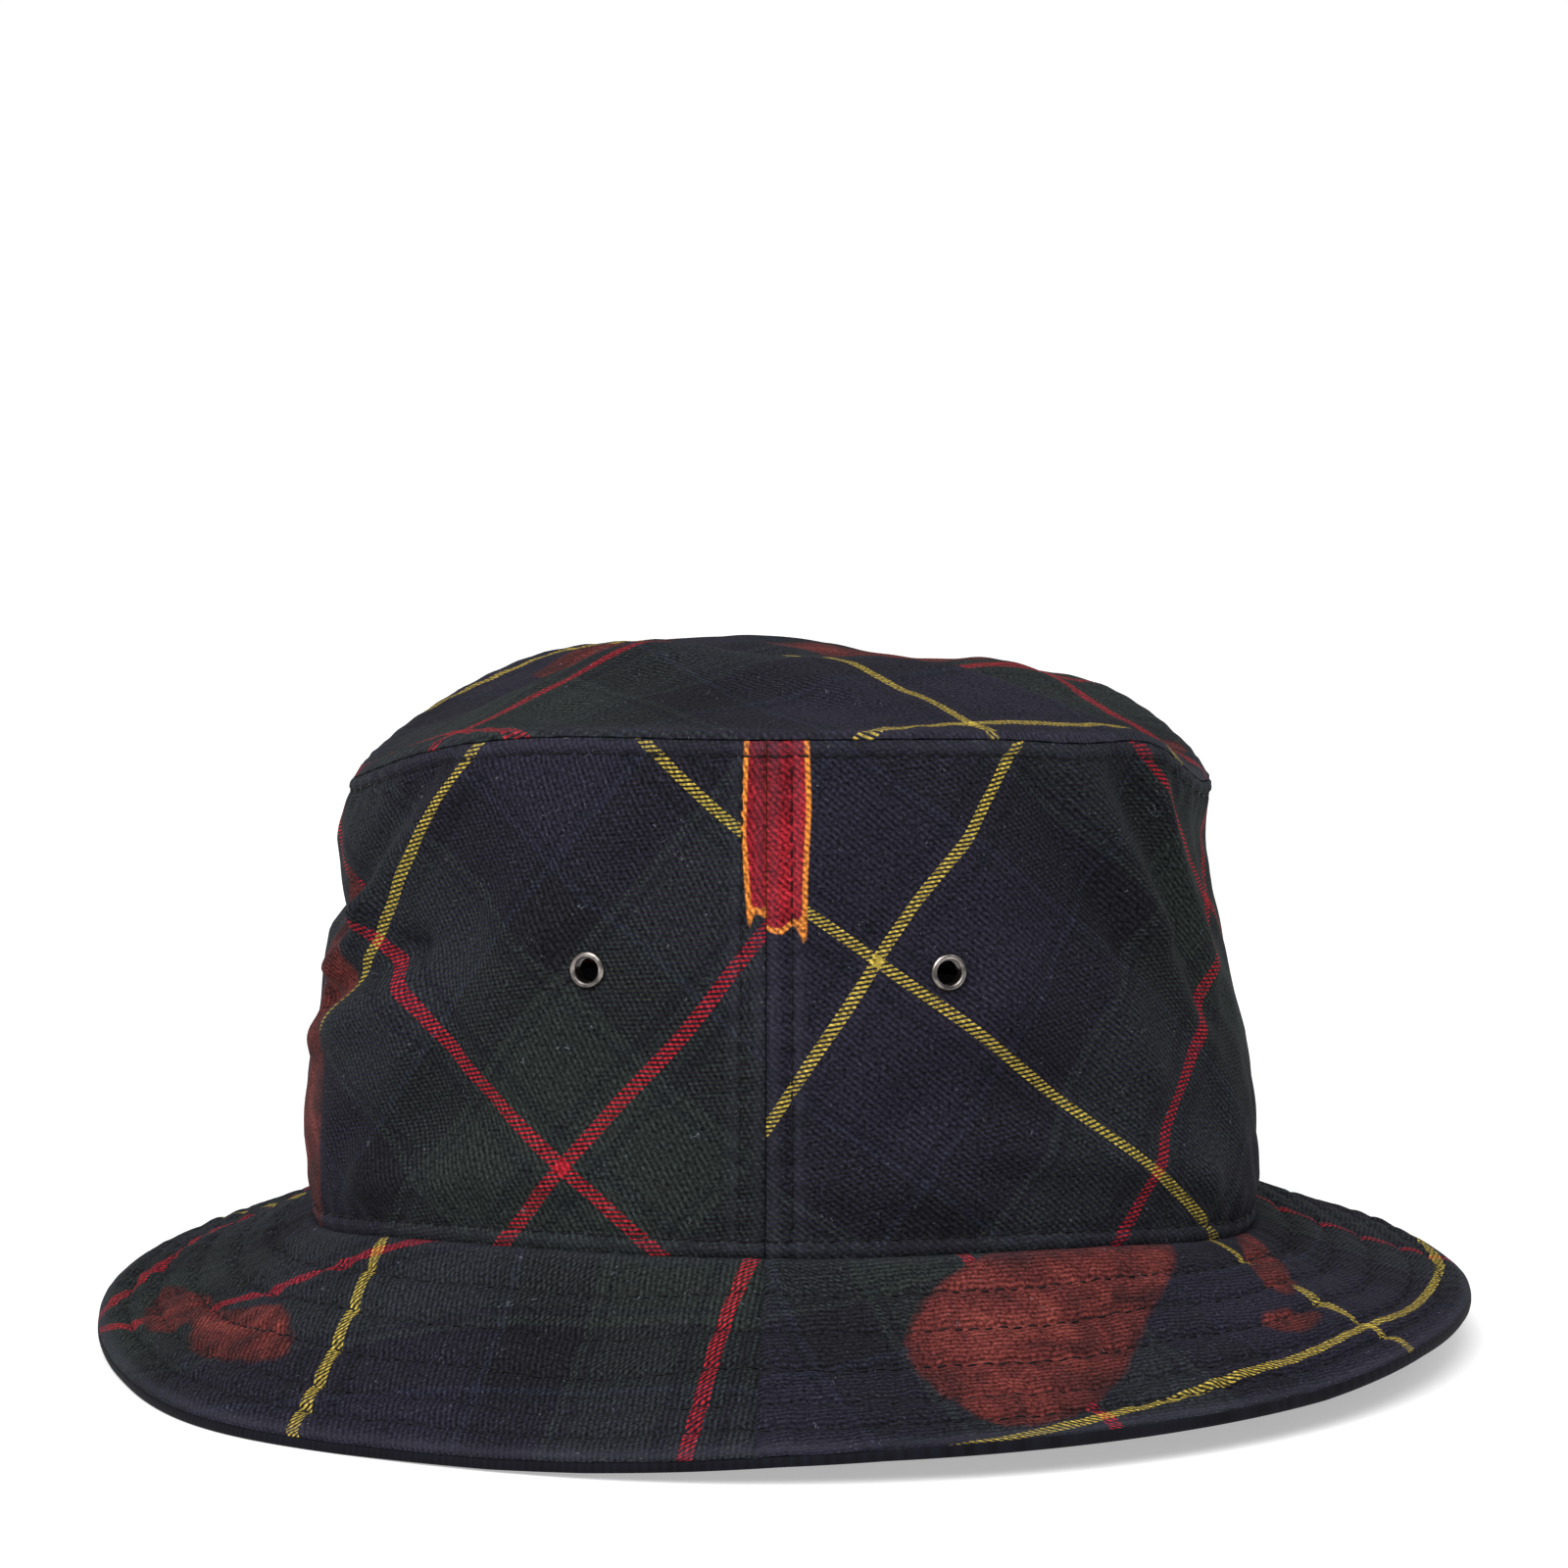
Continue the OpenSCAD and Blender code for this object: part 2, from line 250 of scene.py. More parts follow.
@dataclass
class HatForm:
    """Every cloth surface of the hat as worn in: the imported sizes, with the slouch of soft cloth on them."""

    base: tuple[float, float]
    rim: tuple[float, float]
    edge: tuple[float, float]
    seam_side: float
    seam_end: float
    rim_side: float
    rim_end: float
    top: float
    eyelets: list[tuple[Vector, Vector]]
    brim_t: float = 3.4 * MM
    turn_in: float = 3.0 * MM
    gap: float = 0.15 * MM
    rows: tuple[float, ...] = (10.4 * MM, 20.8 * MM, 31.2 * MM, 41.6 * MM)
    edge_row: float = 6.5 * MM
    edge_stitch: float = 3.0 * MM
    seam_stitch: float = 5.0 * MM
    arc_angles: Array = field(default_factory=lambda: np.linspace(0.0, 180.0, 721))
    wall_arcs: Array = field(default_factory=lambda: np.zeros(1))
    brim_arcs: Array = field(default_factory=lambda: np.zeros(1))

    @classmethod
    def from_frame(cls) -> "HatForm":
        """Reads the form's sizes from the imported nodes' boxes and the record's mounts.

        Returns:
            The hat's form, with its arc tables filled.
        """
        wall_low, wall_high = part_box("crown_front_panel")
        tip_low, tip_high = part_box("crown_tip")
        _, brim_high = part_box("brim_upper_front")
        _, side_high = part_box("brim_upper_back")
        bores = [m for m in frame["record"]["mounts"] if m["kind"] == "bore"]
        form = cls(
            base=(wall_high[0], wall_high[1]),
            rim=(tip_high[0], tip_high[1]),
            edge=(brim_high[0], max(brim_high[1], side_high[1])),
            seam_side=brim_high[2],
            seam_end=wall_low[2] + 3.0 * MM,
            rim_side=wall_high[2],
            rim_end=tip_low[2] - 0.15 * MM,
            top=tip_high[2] - 1.35 * MM,
            eyelets=[(Vector(m["pos_m"]), Vector(m["axis"]).normalized()) for m in bores],
        )
        form.fill_arcs()
        return form

    def fill_arcs(self) -> None:
        """Tabulates arc length from the right side seam along the middle of the wall and of the brim."""
        t = -90.0 + self.arc_angles
        for name, pair in (
            ("wall_arcs", [(b + r) / 2 for b, r in zip(self.base, self.rim)]),
            ("brim_arcs", [(b + e) / 2 for b, e in zip(self.base, self.edge)]),
        ):
            ring = np.stack([pair[0] * np.cos(np.radians(t)), pair[1] * np.sin(np.radians(t))], 1)
            steps = np.linalg.norm(np.diff(ring, axis=0), axis=1)
            setattr(self, name, np.concatenate([[0.0], np.cumsum(steps)]))

    @property
    def slant(self) -> float:
        """Length of the brim from its seam to its edge."""
        return math.hypot(self.edge[1] - self.base[1], self.seam_side - self.brim_t)

    @property
    def wall_height(self) -> float:
        """Height of the crown wall above the brim seam, along the cloth."""
        return math.hypot(self.rim_side - self.seam_side, self.base[1] - self.rim[1])

    @property
    def stitch_shares(self) -> list[float]:
        """Places of the brim's stitch rows as shares of its slant."""
        return [row / self.slant for row in self.rows] + [1 - self.edge_row / self.slant]

    @staticmethod
    def oval(pair: Sequence[float], t: Array, out: Array | float = 0.0) -> tuple[Array, Array, Array, Array]:
        """Points on an oval and its unit normals.

        Args:
            pair: Half length and half width.
            t: Angles in degrees.
            out: Distance outwards along the normal.

        Returns:
            x and y of the points, and x and y of the normals.
        """
        c, s = np.cos(np.radians(t)), np.sin(np.radians(t))
        nx, ny = c / pair[0], s / pair[1]
        size = np.hypot(nx, ny)
        nx, ny = nx / size, ny / size
        return pair[0] * c + out * nx, pair[1] * s + out * ny, nx, ny

    def from_seam(self, t: Array) -> tuple[Array, Array]:
        """Angle in degrees away from the right side seam, and its sign, positive towards the front."""
        swing = turn_between(t, -90.0)
        return np.abs(swing), np.where(swing >= 0, 1.0, -1.0)

    def wall_along(self, t: Array) -> Array:
        """Signed arc length round the wall from the right side seam, positive towards the front."""
        away, sign = self.from_seam(t)
        return sign * np.interp(away, self.arc_angles, self.wall_arcs)

    def seam_z(self, t: Array) -> Array:
        """Height of the brim seam."""
        return self.seam_side - (self.seam_side - self.seam_end) * np.cos(np.radians(t)) ** 4

    def rim_z(self, t: Array) -> Array:
        """Height of the top rim, with its soft dips."""
        plain = self.rim_side - (self.rim_side - self.rim_end) * np.cos(np.radians(t)) ** 4
        dips = -6.2 * bell(turn_between(t, 67), 17) + 1.4 * bell(turn_between(t, 128), 16)
        dips = dips + 4.2 * bell(turn_between(t, -31), 12)
        return plain + dips * MM

    def wall_z(self, t: Array, s: Array) -> Array:
        """Height of the wall at a share of the way up from the brim seam."""
        return self.seam_z(t) + (self.rim_z(t) - self.seam_z(t)) * s

    def slouch(self, t: Array, s: Array) -> Array:
        """Outward push of the crown wall where the soft cloth dents and bulges, the same for every layer."""
        t, s = np.broadcast_arrays(np.asarray(t, float), np.asarray(s, float))
        height = self.wall_z(t, s)
        back = np.interp(height / MM, BACK_LEVELS, BACK_PUSH)
        front = np.interp(height / MM, FRONT_LEVELS, FRONT_PUSH)
        push = (back * bell(turn_between(t, 180), 42) + front * bell(turn_between(t, 0), 42)) * MM
        along = self.wall_along(t) / MM
        total = self.wall_arcs[-1] / MM
        up = s * self.wall_height / MM
        from_left = np.where(along > 0, along - total, along + total)
        for folds, reach in ((RIGHT_FOLDS, along), (LEFT_FOLDS, from_left)):
            for fold in folds:
                push = push + FOLD_GAIN * fold.push(reach, up)
        push = push + 0.75 * MM * ripple(along, up * 0.7, 36, 3) + 0.34 * MM * ripple(along, up, 14, 4)
        push = push * ramp(s, -0.01, 0.10) * (0.35 + 0.65 * ramp(1 - s, 0.0, 0.12)) + 0.2 * MM * (1 - ramp(s, 0, 0.1))
        x, y, _, _ = self._wall_flat(t, s)
        for place, axis in self.eyelets:
            reach = np.sqrt((x - place.x) ** 2 + (y - place.y) ** 2 + (height - place.z) ** 2)
            plane = place + axis * EYELET_FACE
            level = -((x - plane.x) * axis.x + (y - plane.y) * axis.y + (height - plane.z) * axis.z)
            pressed = np.exp(-((reach / EYELET_PRESSED) ** 4))
            push = push * (1 - pressed) + (level - 0.05 * MM) * pressed
        return push

    def _wall_flat(self, t: Array, s: Array) -> tuple[Array, Array, Array, Array]:
        """Plan position and normal of the unslouched wall."""
        xl, yl, nx, ny = self.oval(self.base, t)
        xh, yh, _, _ = self.oval(self.rim, t)
        return xl + (xh - xl) * s, yl + (yh - yl) * s, nx, ny

    def wall(self, t: Array, s: Array, out: Array | float) -> Array:
        """Points on the crown wall.

        Args:
            t: Angles in degrees.
            s: Share of the height, 0 at the brim seam and 1 at the top rim. It may be a little below 0.
            out: Distance outwards from the wall's outer face.

        Returns:
            One row of x, y, z for each point.
        """
        t, s = np.broadcast_arrays(np.asarray(t, float), np.asarray(s, float))
        x, y, nx, ny = self._wall_flat(t, s)
        push = self.slouch(t, s) + out
        return np.stack([x + nx * push, y + ny * push, self.wall_z(t, s)], -1)

    def wall_relief(self, t: Array, s: Array) -> Array:
        """Small relief of the wall's outer cloth: rolled seams, stitch dimples and puckers."""
        away, _ = self.from_seam(t)
        arc = np.interp(away, self.arc_angles, self.wall_arcs)
        side = np.minimum(arc, self.wall_arcs[-1] - arc) / MM
        up = s * self.wall_height / MM
        below = (1 - s) * self.wall_height / MM
        row = self.seam_stitch / MM
        height = 0.42 * ramp(row + 0.6 - side, 0, 1.6) - 0.75 * bell(side, 0.9)
        height = height - 0.58 * bell(side - row, 1.0)
        height = height + 0.26 * np.sin(2 * math.pi * up / 6.7 + 0.6 * np.sin(up / 9)) * bell(side - row, 4.8)
        along = arc / MM
        for away_from, seed in ((below, 11), (up, 12)):
            edge = self.edge_stitch / MM
            height = height + 0.34 * ramp(edge + 0.5 - away_from, 0, 1.4) - 0.55 * bell(away_from - edge, 0.9)
            wave = np.sin(2 * math.pi * along / 7.4 + 1.3 * ripple(along, along * 0, 60, seed, 3))
            height = height + 0.30 * wave * bell(away_from - edge, 4.4)
            height = height - 0.75 * np.clip(1 - away_from / 1.5, 0, 1) ** 2
        return height * MM

    def tip(self, t: Array, r: Array, up: Array | float) -> Array:
        """Points on the crown's tip.

        Args:
            t: Angles in degrees.
            r: 0 in the middle, 1 at the rim.
            up: Height above the wall's edge.

        Returns:
            One row of x, y, z for each point.
        """
        t, r = np.broadcast_arrays(np.asarray(t, float), np.asarray(r, float))
        shift = self.slouch(t, np.ones_like(t)) * r ** 3
        xo, yo, nx, ny = self.oval(self.rim, t)
        x, y = xo * r + nx * shift, yo * r + ny * shift
        xm, ym = x / MM, y / MM
        swell = (0.9 * ripple(xm, ym, 34, 71) + 0.35 * ripple(xm, ym, 13, 72)) * ramp(1 - r, 0.03, 0.3)
        swell = swell + 0.55 * ripple(xm, ym, 38, 8) + 0.14 * ripple(xm, ym, 13, 9)
        for height, x_mid, y_mid, x_reach, y_reach in TIP_SWELLS:
            swell = swell + height * bell((xm - x_mid) / x_reach, 1) * bell((ym - y_mid) / y_reach, 1)
        rise = self.top + (self.rim_z(t) - self.top) * r ** 2
        z = rise + swell * MM * (1 - r ** 8) + up
        return np.stack([x, y, z], -1)

    def tip_relief(self, t: Array, r: Array) -> Array:
        """Small relief of the tip's cloth beside its seam."""
        inside = (1 - r) * (self.rim[0] + self.rim[1]) / 2 / MM
        along = np.radians(t) * (self.rim[0] + self.rim[1]) / 2 / MM
        height = -1.15 * np.clip(1 - inside / 1.7, 0, 1) ** 2 + 0.25 * ramp(7 - inside, 0, 2)
        wave = np.sin(2 * math.pi * along / 8.1 + 1.4 * ripple(along, along * 0, 70, 21, 3))
        return (height + 0.16 * wave * bell(inside - 4, 4.0)) * MM

    def edge_lift(self, t: Array) -> Array:
        """How far the brim's edge stands off the floor."""
        return np.interp(turn_between(t, 0.0), EDGE_TURNS, EDGE_LIFTS) * MM

    def edge_flare(self, t: Array) -> Array:
        """How much further out the brim's edge is pushed where it bears on the floor."""
        return 5.4 * MM * bell(turn_between(t, -138), 15)

    def brim(self, t: Array, q: Array, down: Array | float) -> Array:
        """Points on the brim.

        Args:
            t: Angles in degrees.
            q: 0 at the seam and 1 at the edge.
            down: Upright depth below the top face.

        Returns:
            One row of x, y, z for each point.
        """
        t, q = np.broadcast_arrays(np.asarray(t, float), np.asarray(q, float))
        xi, yi, nx, ny = self.oval(self.base, t, self.gap)
        xo, yo, _, _ = self.oval(self.edge, t)
        flare = self.edge_flare(t) * np.clip(q, 0, 1) ** 2
        x, y = xi + (xo - xi) * q + nx * flare, yi + (yo - yi) * q + ny * flare
        z = self.seam_z(t) + (self.brim_t + self.edge_lift(t) - self.seam_z(t)) * q
        m = self.brim_along(t) / MM
        d = q * self.slant / MM
        sag = -1.5 * np.sin(np.pi * np.clip(q, 0, 1))
        wave = 0.95 * ripple(m, d * 0.35, 60, 31) * np.sin(np.pi * np.clip(q, 0, 1)) ** 0.8
        z = z + (sag + wave) * MM - down
        return np.stack([x, y, z], -1)

    def brim_along(self, t: Array) -> Array:
        """Signed arc length along the middle of the brim from the right side seam, positive to the front."""
        away, sign = self.from_seam(t)
        return sign * np.interp(away, self.arc_angles, self.brim_arcs)

    def brim_relief(self, t: Array, q: Array) -> Array:
        """Small relief of the brim's cloth: puffed channels, stitch valleys, puckers and the edge."""
        m, d = self.brim_along(t) / MM, q * self.slant / MM
        shares = [share * self.slant / MM for share in self.stitch_shares]
        height = np.zeros_like(m + d)
        stops = [0.0, *shares, self.slant / MM]
        for low, high in zip(stops, stops[1:]):
            f = np.clip((d - low) / (high - low), 0, 1)
            height = height + 0.55 * np.sin(np.pi * f) ** 0.7 * ((d >= low) & (d < high))
        for number, share in enumerate(shares):
            wave = np.sin(2 * math.pi * m / 6.4 + 1.6 * ripple(m, m * 0, 55, 41 + number, 3) + number * 2.1)
            height = height - 0.62 * bell(d - share, 1.1) + 0.32 * wave * bell(d - share, 3.4)
        height = height + 0.26 * ripple(m, d * 0.5, 9, 50)
        side = np.minimum(np.abs(m), self.brim_arcs[-1] / MM - np.abs(m))
        height = height - 0.85 * bell(side, 0.8) + 0.25 * ramp(7 - side, 0, 2)
        height = height - 0.9 * np.clip(1 - d / 1.6, 0, 1) ** 2
        return np.maximum(height, -0.72) * MM * ramp(1 - q, -0.01, 0.02)

    def under_relief(self, t: Array, q: Array) -> Array:
        """Small relief of the brim's under side, which fades out towards the edge."""
        return 0.6 * self.brim_relief(t, q) * (1 - ramp(q, 0.9, 0.96))

    def brim_flat(self, t: Array, q: Array, curl: float) -> tuple[Array, Array]:
        """Flat place of a brim point on its cut, with the right side seam's top at the origin.

        Args:
            t: Angles in degrees.
            q: 0 at the seam and 1 at the edge.
            curl: How fast the cut turns, in radians for each metre.

        Returns:
            The flat x, positive towards the front, and the flat y, up towards the crown.
        """
        m = self.brim_along(t)
        inner = 1 / curl - self.slant / 2
        r = inner + q * self.slant
        return r * np.sin(np.abs(m) * curl) * np.sign(m), inner - r * np.cos(m * curl)


# ---------------------------------------------------------------- printed shapes

@dataclass(frozen=True)
class PrintShape:
    """A plain closed outline printed on a flat cut, in millimetres."""

    points: tuple[tuple[float, float], ...]

    def distance(self, x: Array, y: Array) -> Array:
        """Signed distance in metres from the outline, negative inside.

        Args:
            x: Flat x in metres.
            y: Flat y in metres.

        Returns:
            The signed distance for each point.
        """
        px, py = x / MM, y / MM
        best = np.full(px.shape, 1e9)
        inside = np.zeros(px.shape, bool)
        ring = self.points
        for (ax, ay), (bx, by) in zip(ring, ring[1:] + ring[:1]):
            dx, dy = bx - ax, by - ay
            f = np.clip(((px - ax) * dx + (py - ay) * dy) / (dx * dx + dy * dy), 0, 1)
            best = np.minimum(best, np.hypot(px - ax - f * dx, py - ay - f * dy))
            crosses = (ay > py) != (by > py)
            with np.errstate(divide="ignore", invalid="ignore"):
                inside ^= crosses & (px < (bx - ax) * (py - ay) / (by - ay if by != ay else 1e-9) + ax)
        return np.where(inside, -best, best) * MM


def leaf(x: float, y: float, length: float, width: float, heading: float, lobes: int = 0) -> PrintShape:
    """A plain leaf-like outline.

    Args:
        x: Flat x of its middle in millimetres.
        y: Flat y of its middle in millimetres.
        length: Length in millimetres.
        width: Width in millimetres.
        heading: Angle of its length in degrees.
        lobes: How many shallow lobes its sides have.

    Returns:
        The outline.
    """
    points = []
    turn = math.radians(heading)
    for step in range(48):
        a = 2 * math.pi * step / 48
        swell = 1 + (0.10 * math.cos(lobes * a + 0.5) if lobes else 0.0)
        lx = 0.5 * length * math.cos(a) * swell
        ly = 0.5 * width * math.sin(a) * (1 - 0.25 * math.cos(a)) * swell
        points.append((x + lx * math.cos(turn) - ly * math.sin(turn), y + lx * math.sin(turn) + ly * math.cos(turn)))
    return PrintShape(tuple(points))


def nearest(shapes: Sequence[PrintShape], x: Array, y: Array) -> Array:
    """Signed distance from the nearest of several outlines, or a large one where there are none."""
    best = np.full(np.broadcast(x, y).shape, FAR_AWAY)
    for shape in shapes:
        best = np.minimum(best, shape.distance(x, y))
    return best


# ---------------------------------------------------------------- mesh making

Placer = Callable[[Array, Array], Array]


def clear_choice() -> None:
    """Leaves nothing selected and the scene in object mode."""
    if bpy.context.object and bpy.context.object.mode != "OBJECT":
        bpy.ops.object.mode_set(mode="OBJECT")
    bpy.ops.object.select_all(action="DESELECT")


def choose(piece: bpy.types.Object) -> None:
    """Makes one piece the only selected and the active one."""
    clear_choice()
    piece.select_set(True)
    bpy.context.view_layer.objects.active = piece


def vertex_places(piece: bpy.types.Object) -> Array:
    """The places of a piece's vertices, a row for each."""
    flat = np.empty(len(piece.data.vertices) * 3)
    piece.data.vertices.foreach_get("co", flat)
    return flat.reshape(-1, 3)


def push_out(points: Array, nx: Array, ny: Array, distance: Array) -> None:
    """Moves points outwards in plan."""
    points[:, 0] += nx * distance
    points[:, 1] += ny * distance


def cloth_grid(name: str, columns: int, rows: int, place: Placer) -> tuple[bpy.types.Object, Array, Array]:
    """A fine grid of cloth, with each vertex moved to its place.

    Args:
        name: Name of the piece.
        columns: Faces along the first direction.
        rows: Faces along the second direction.
        place: Gives the points for shares from 0 to 1 of the two directions.

    Returns:
        The piece, and the two shares of each of its vertices.
    """
    clear_choice()
    bpy.ops.mesh.primitive_grid_add(x_subdivisions=columns, y_subdivisions=rows, size=2, location=(0, 0, 0))
    piece = bpy.context.object
    piece.name = piece.data.name = name
    flat = vertex_places(piece)
    a, b = (flat[:, 0] + 1) / 2, (flat[:, 1] + 1) / 2
    piece.data.vertices.foreach_set("co", place(a, b).ravel())
    piece.data.update()
    return piece, a, b


def lay_cut(piece: bpy.types.Object, x: Array, y: Array) -> None:
    """Gives a cloth its map of the flat cut, in metres.

    Args:
        piece: The cloth.
        x: Flat x of each vertex.
        y: Flat y of each vertex.
    """
    mesh = piece.data
    while mesh.uv_layers:
        mesh.uv_layers.remove(mesh.uv_layers[0])
    layer = mesh.uv_layers.new(name=CUT_MAP)
    corners = np.empty(len(mesh.loops), dtype=np.int32)
    mesh.loops.foreach_get("vertex_index", corners)
    layer.data.foreach_set("uv", np.stack([x[corners], y[corners]], 1).astype(np.float32).ravel())


def shade(piece: bpy.types.Object, name: str, values: Array) -> None:
    """Stores one number for each vertex under a name that a material reads."""
    layer = piece.data.attributes.new(name, "FLOAT", "POINT")
    layer.data.foreach_set("value", np.asarray(values, np.float32))


def close_ring(piece: bpy.types.Object) -> None:
    """Merges the meeting edges of a grid that runs all the way round, and its pole if it has one."""
    choose(piece)
    bpy.ops.object.mode_set(mode="EDIT")
    bpy.ops.mesh.select_all(action="SELECT")
    bpy.ops.mesh.remove_doubles(threshold=1e-6)
    bpy.ops.object.mode_set(mode="OBJECT")


def thicken(piece: bpy.types.Object, thickness: float) -> None:
    """Gives a cloth its thickness, inwards from its face, with closed edges."""
    choose(piece)
    wall = piece.modifiers.new("thickness", "SOLIDIFY")
    wall.thickness = thickness
    wall.offset = -1
    wall.use_rim = True
    bpy.ops.object.modifier_apply(modifier=wall.name)
    bpy.ops.object.shade_smooth_by_angle(angle=math.radians(50))


def wear_and_highlight_at(distance: Array, width: float) -> Array:
    """How much lighter a cloth is painted at some distance from a hard edge or seam: partly wear, partly painted
    highlight on the ridge there.
    """
    return np.clip(bell(distance, width), 0, 1)


@dataclass(frozen=True)
class FlatCut:
    """The flat size that a sheet was cut to."""

    width: float
    length: float
    area: float

    @classmethod
    def strip(cls, width: float, length: float) -> "FlatCut":
        """The cut of a straight strip."""
        return cls(width, length, width * length)


def hand_over(
    piece: bpy.types.Object,
    nodes: Sequence[str],
    material: bpy.types.Material,
    body: str = "hat",
    cut: FlatCut | None = None,
    note: str = "",
) -> None:
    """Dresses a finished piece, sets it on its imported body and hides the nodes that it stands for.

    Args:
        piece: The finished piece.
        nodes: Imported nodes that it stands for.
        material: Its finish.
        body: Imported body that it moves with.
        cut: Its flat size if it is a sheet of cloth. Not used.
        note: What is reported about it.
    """
    piece.data.materials.clear()
    piece.data.materials.append(material)
    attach(piece, body)
    if nodes:
        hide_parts(*nodes)
    LOG.info("%s: %d faces %s", piece.name, len(piece.data.polygons), note)


# ---------------------------------------------------------------- finishes

@dataclass(frozen=True)
class Stripe:
    """One stripe of the check, out to a distance from the middle of the red line."""

    out_to: float
    colour: Colour


LIFT = 0.74
GREEN = tone(36, 41, 40, LIFT)
GREEN_LIGHT = tone(38, 43, 42, LIFT)
GREEN_DARK = tone(29, 32, 34, LIFT)
NEAR_BLACK = tone(27, 27, 32, LIFT)
NAVY = tone(35, 33, 44, LIFT)
NAVY_LIGHT = tone(35, 36, 49, LIFT)
NAVY_DARK = tone(28, 28, 37, LIFT)
RED = tone(150, 30, 40, LIFT)
YELLOW = tone(172, 150, 64, LIFT)

HALF_SETT = 74.0 * MM
SETT = (
    Stripe(1.3, RED),
    Stripe(4.0, GREEN),
    Stripe(6.2, GREEN_DARK),
    Stripe(22.6, GREEN),
    Stripe(24.4, GREEN_DARK),
    Stripe(26.4, GREEN_LIGHT),
    Stripe(41.4, NEAR_BLACK),
    Stripe(43.2, NAVY_LIGHT),
    Stripe(45.2, NAVY_DARK),
    Stripe(67.8, NAVY),
    Stripe(70.2, NAVY_DARK),
    Stripe(72.6, NAVY),
    Stripe(74.0, YELLOW),
)


@dataclass(frozen=True)
class Check:
    """How the woven check lies on one cut of cloth.

    The warp lines run at grain degrees from the cut's x axis. The two offsets are where a red line
    crosses the origin, measured across the warp lines and across the weft lines, in metres.
    """

    name: str
    grain: float
    warp_red: float
    weft_red: float
    rib_turn: float
    stretch: float = 1.0


def set_stops(colour_ramp: bpy.types.ColorRamp, stops: Sequence[tuple[float, Colour]]) -> None:
    """Sets a colour ramp's stops from lowest to highest."""
    while len(colour_ramp.elements) > 1:
        colour_ramp.elements.remove(colour_ramp.elements[-1])
    colour_ramp.elements[0].position = stops[0][0]
    colour_ramp.elements[0].color = stops[0][1]
    for place, colour in stops[1:]:
        colour_ramp.elements.new(place).color = colour


def new_tree(name: str, frames: Sequence[str]) -> tuple[bpy.types.Material, dict[str, bpy.types.Node]]:
    """Makes an empty node material with its named frames.

    Args:
        name: The material's name.
        frames: Labels of the frames that its nodes are grouped in.

    Returns:
        The material, and its frames by label.
    """
    material = bpy.data.materials.new(name)
    material.use_nodes = True
    material.node_tree.nodes.clear()
    made = {}
    for label in frames:
        made[label] = material.node_tree.nodes.new("NodeFrame")
        made[label].label = label
    return material, made


def lay_out(frames: dict[str, bpy.types.Node], rows: dict[str, Sequence[bpy.types.Node]]) -> None:
    """Puts each frame's nodes in a row of its own, from left to right.

    Args:
        frames: The tree's frames by label.
        rows: The nodes of each frame, by the frame's label.
    """
    for row, (label, row_nodes) in enumerate(rows.items()):
        for column, node in enumerate(row_nodes):
            node.location, node.parent = (column * NODE_STEP, -row * ROW_STEP), frames[label]


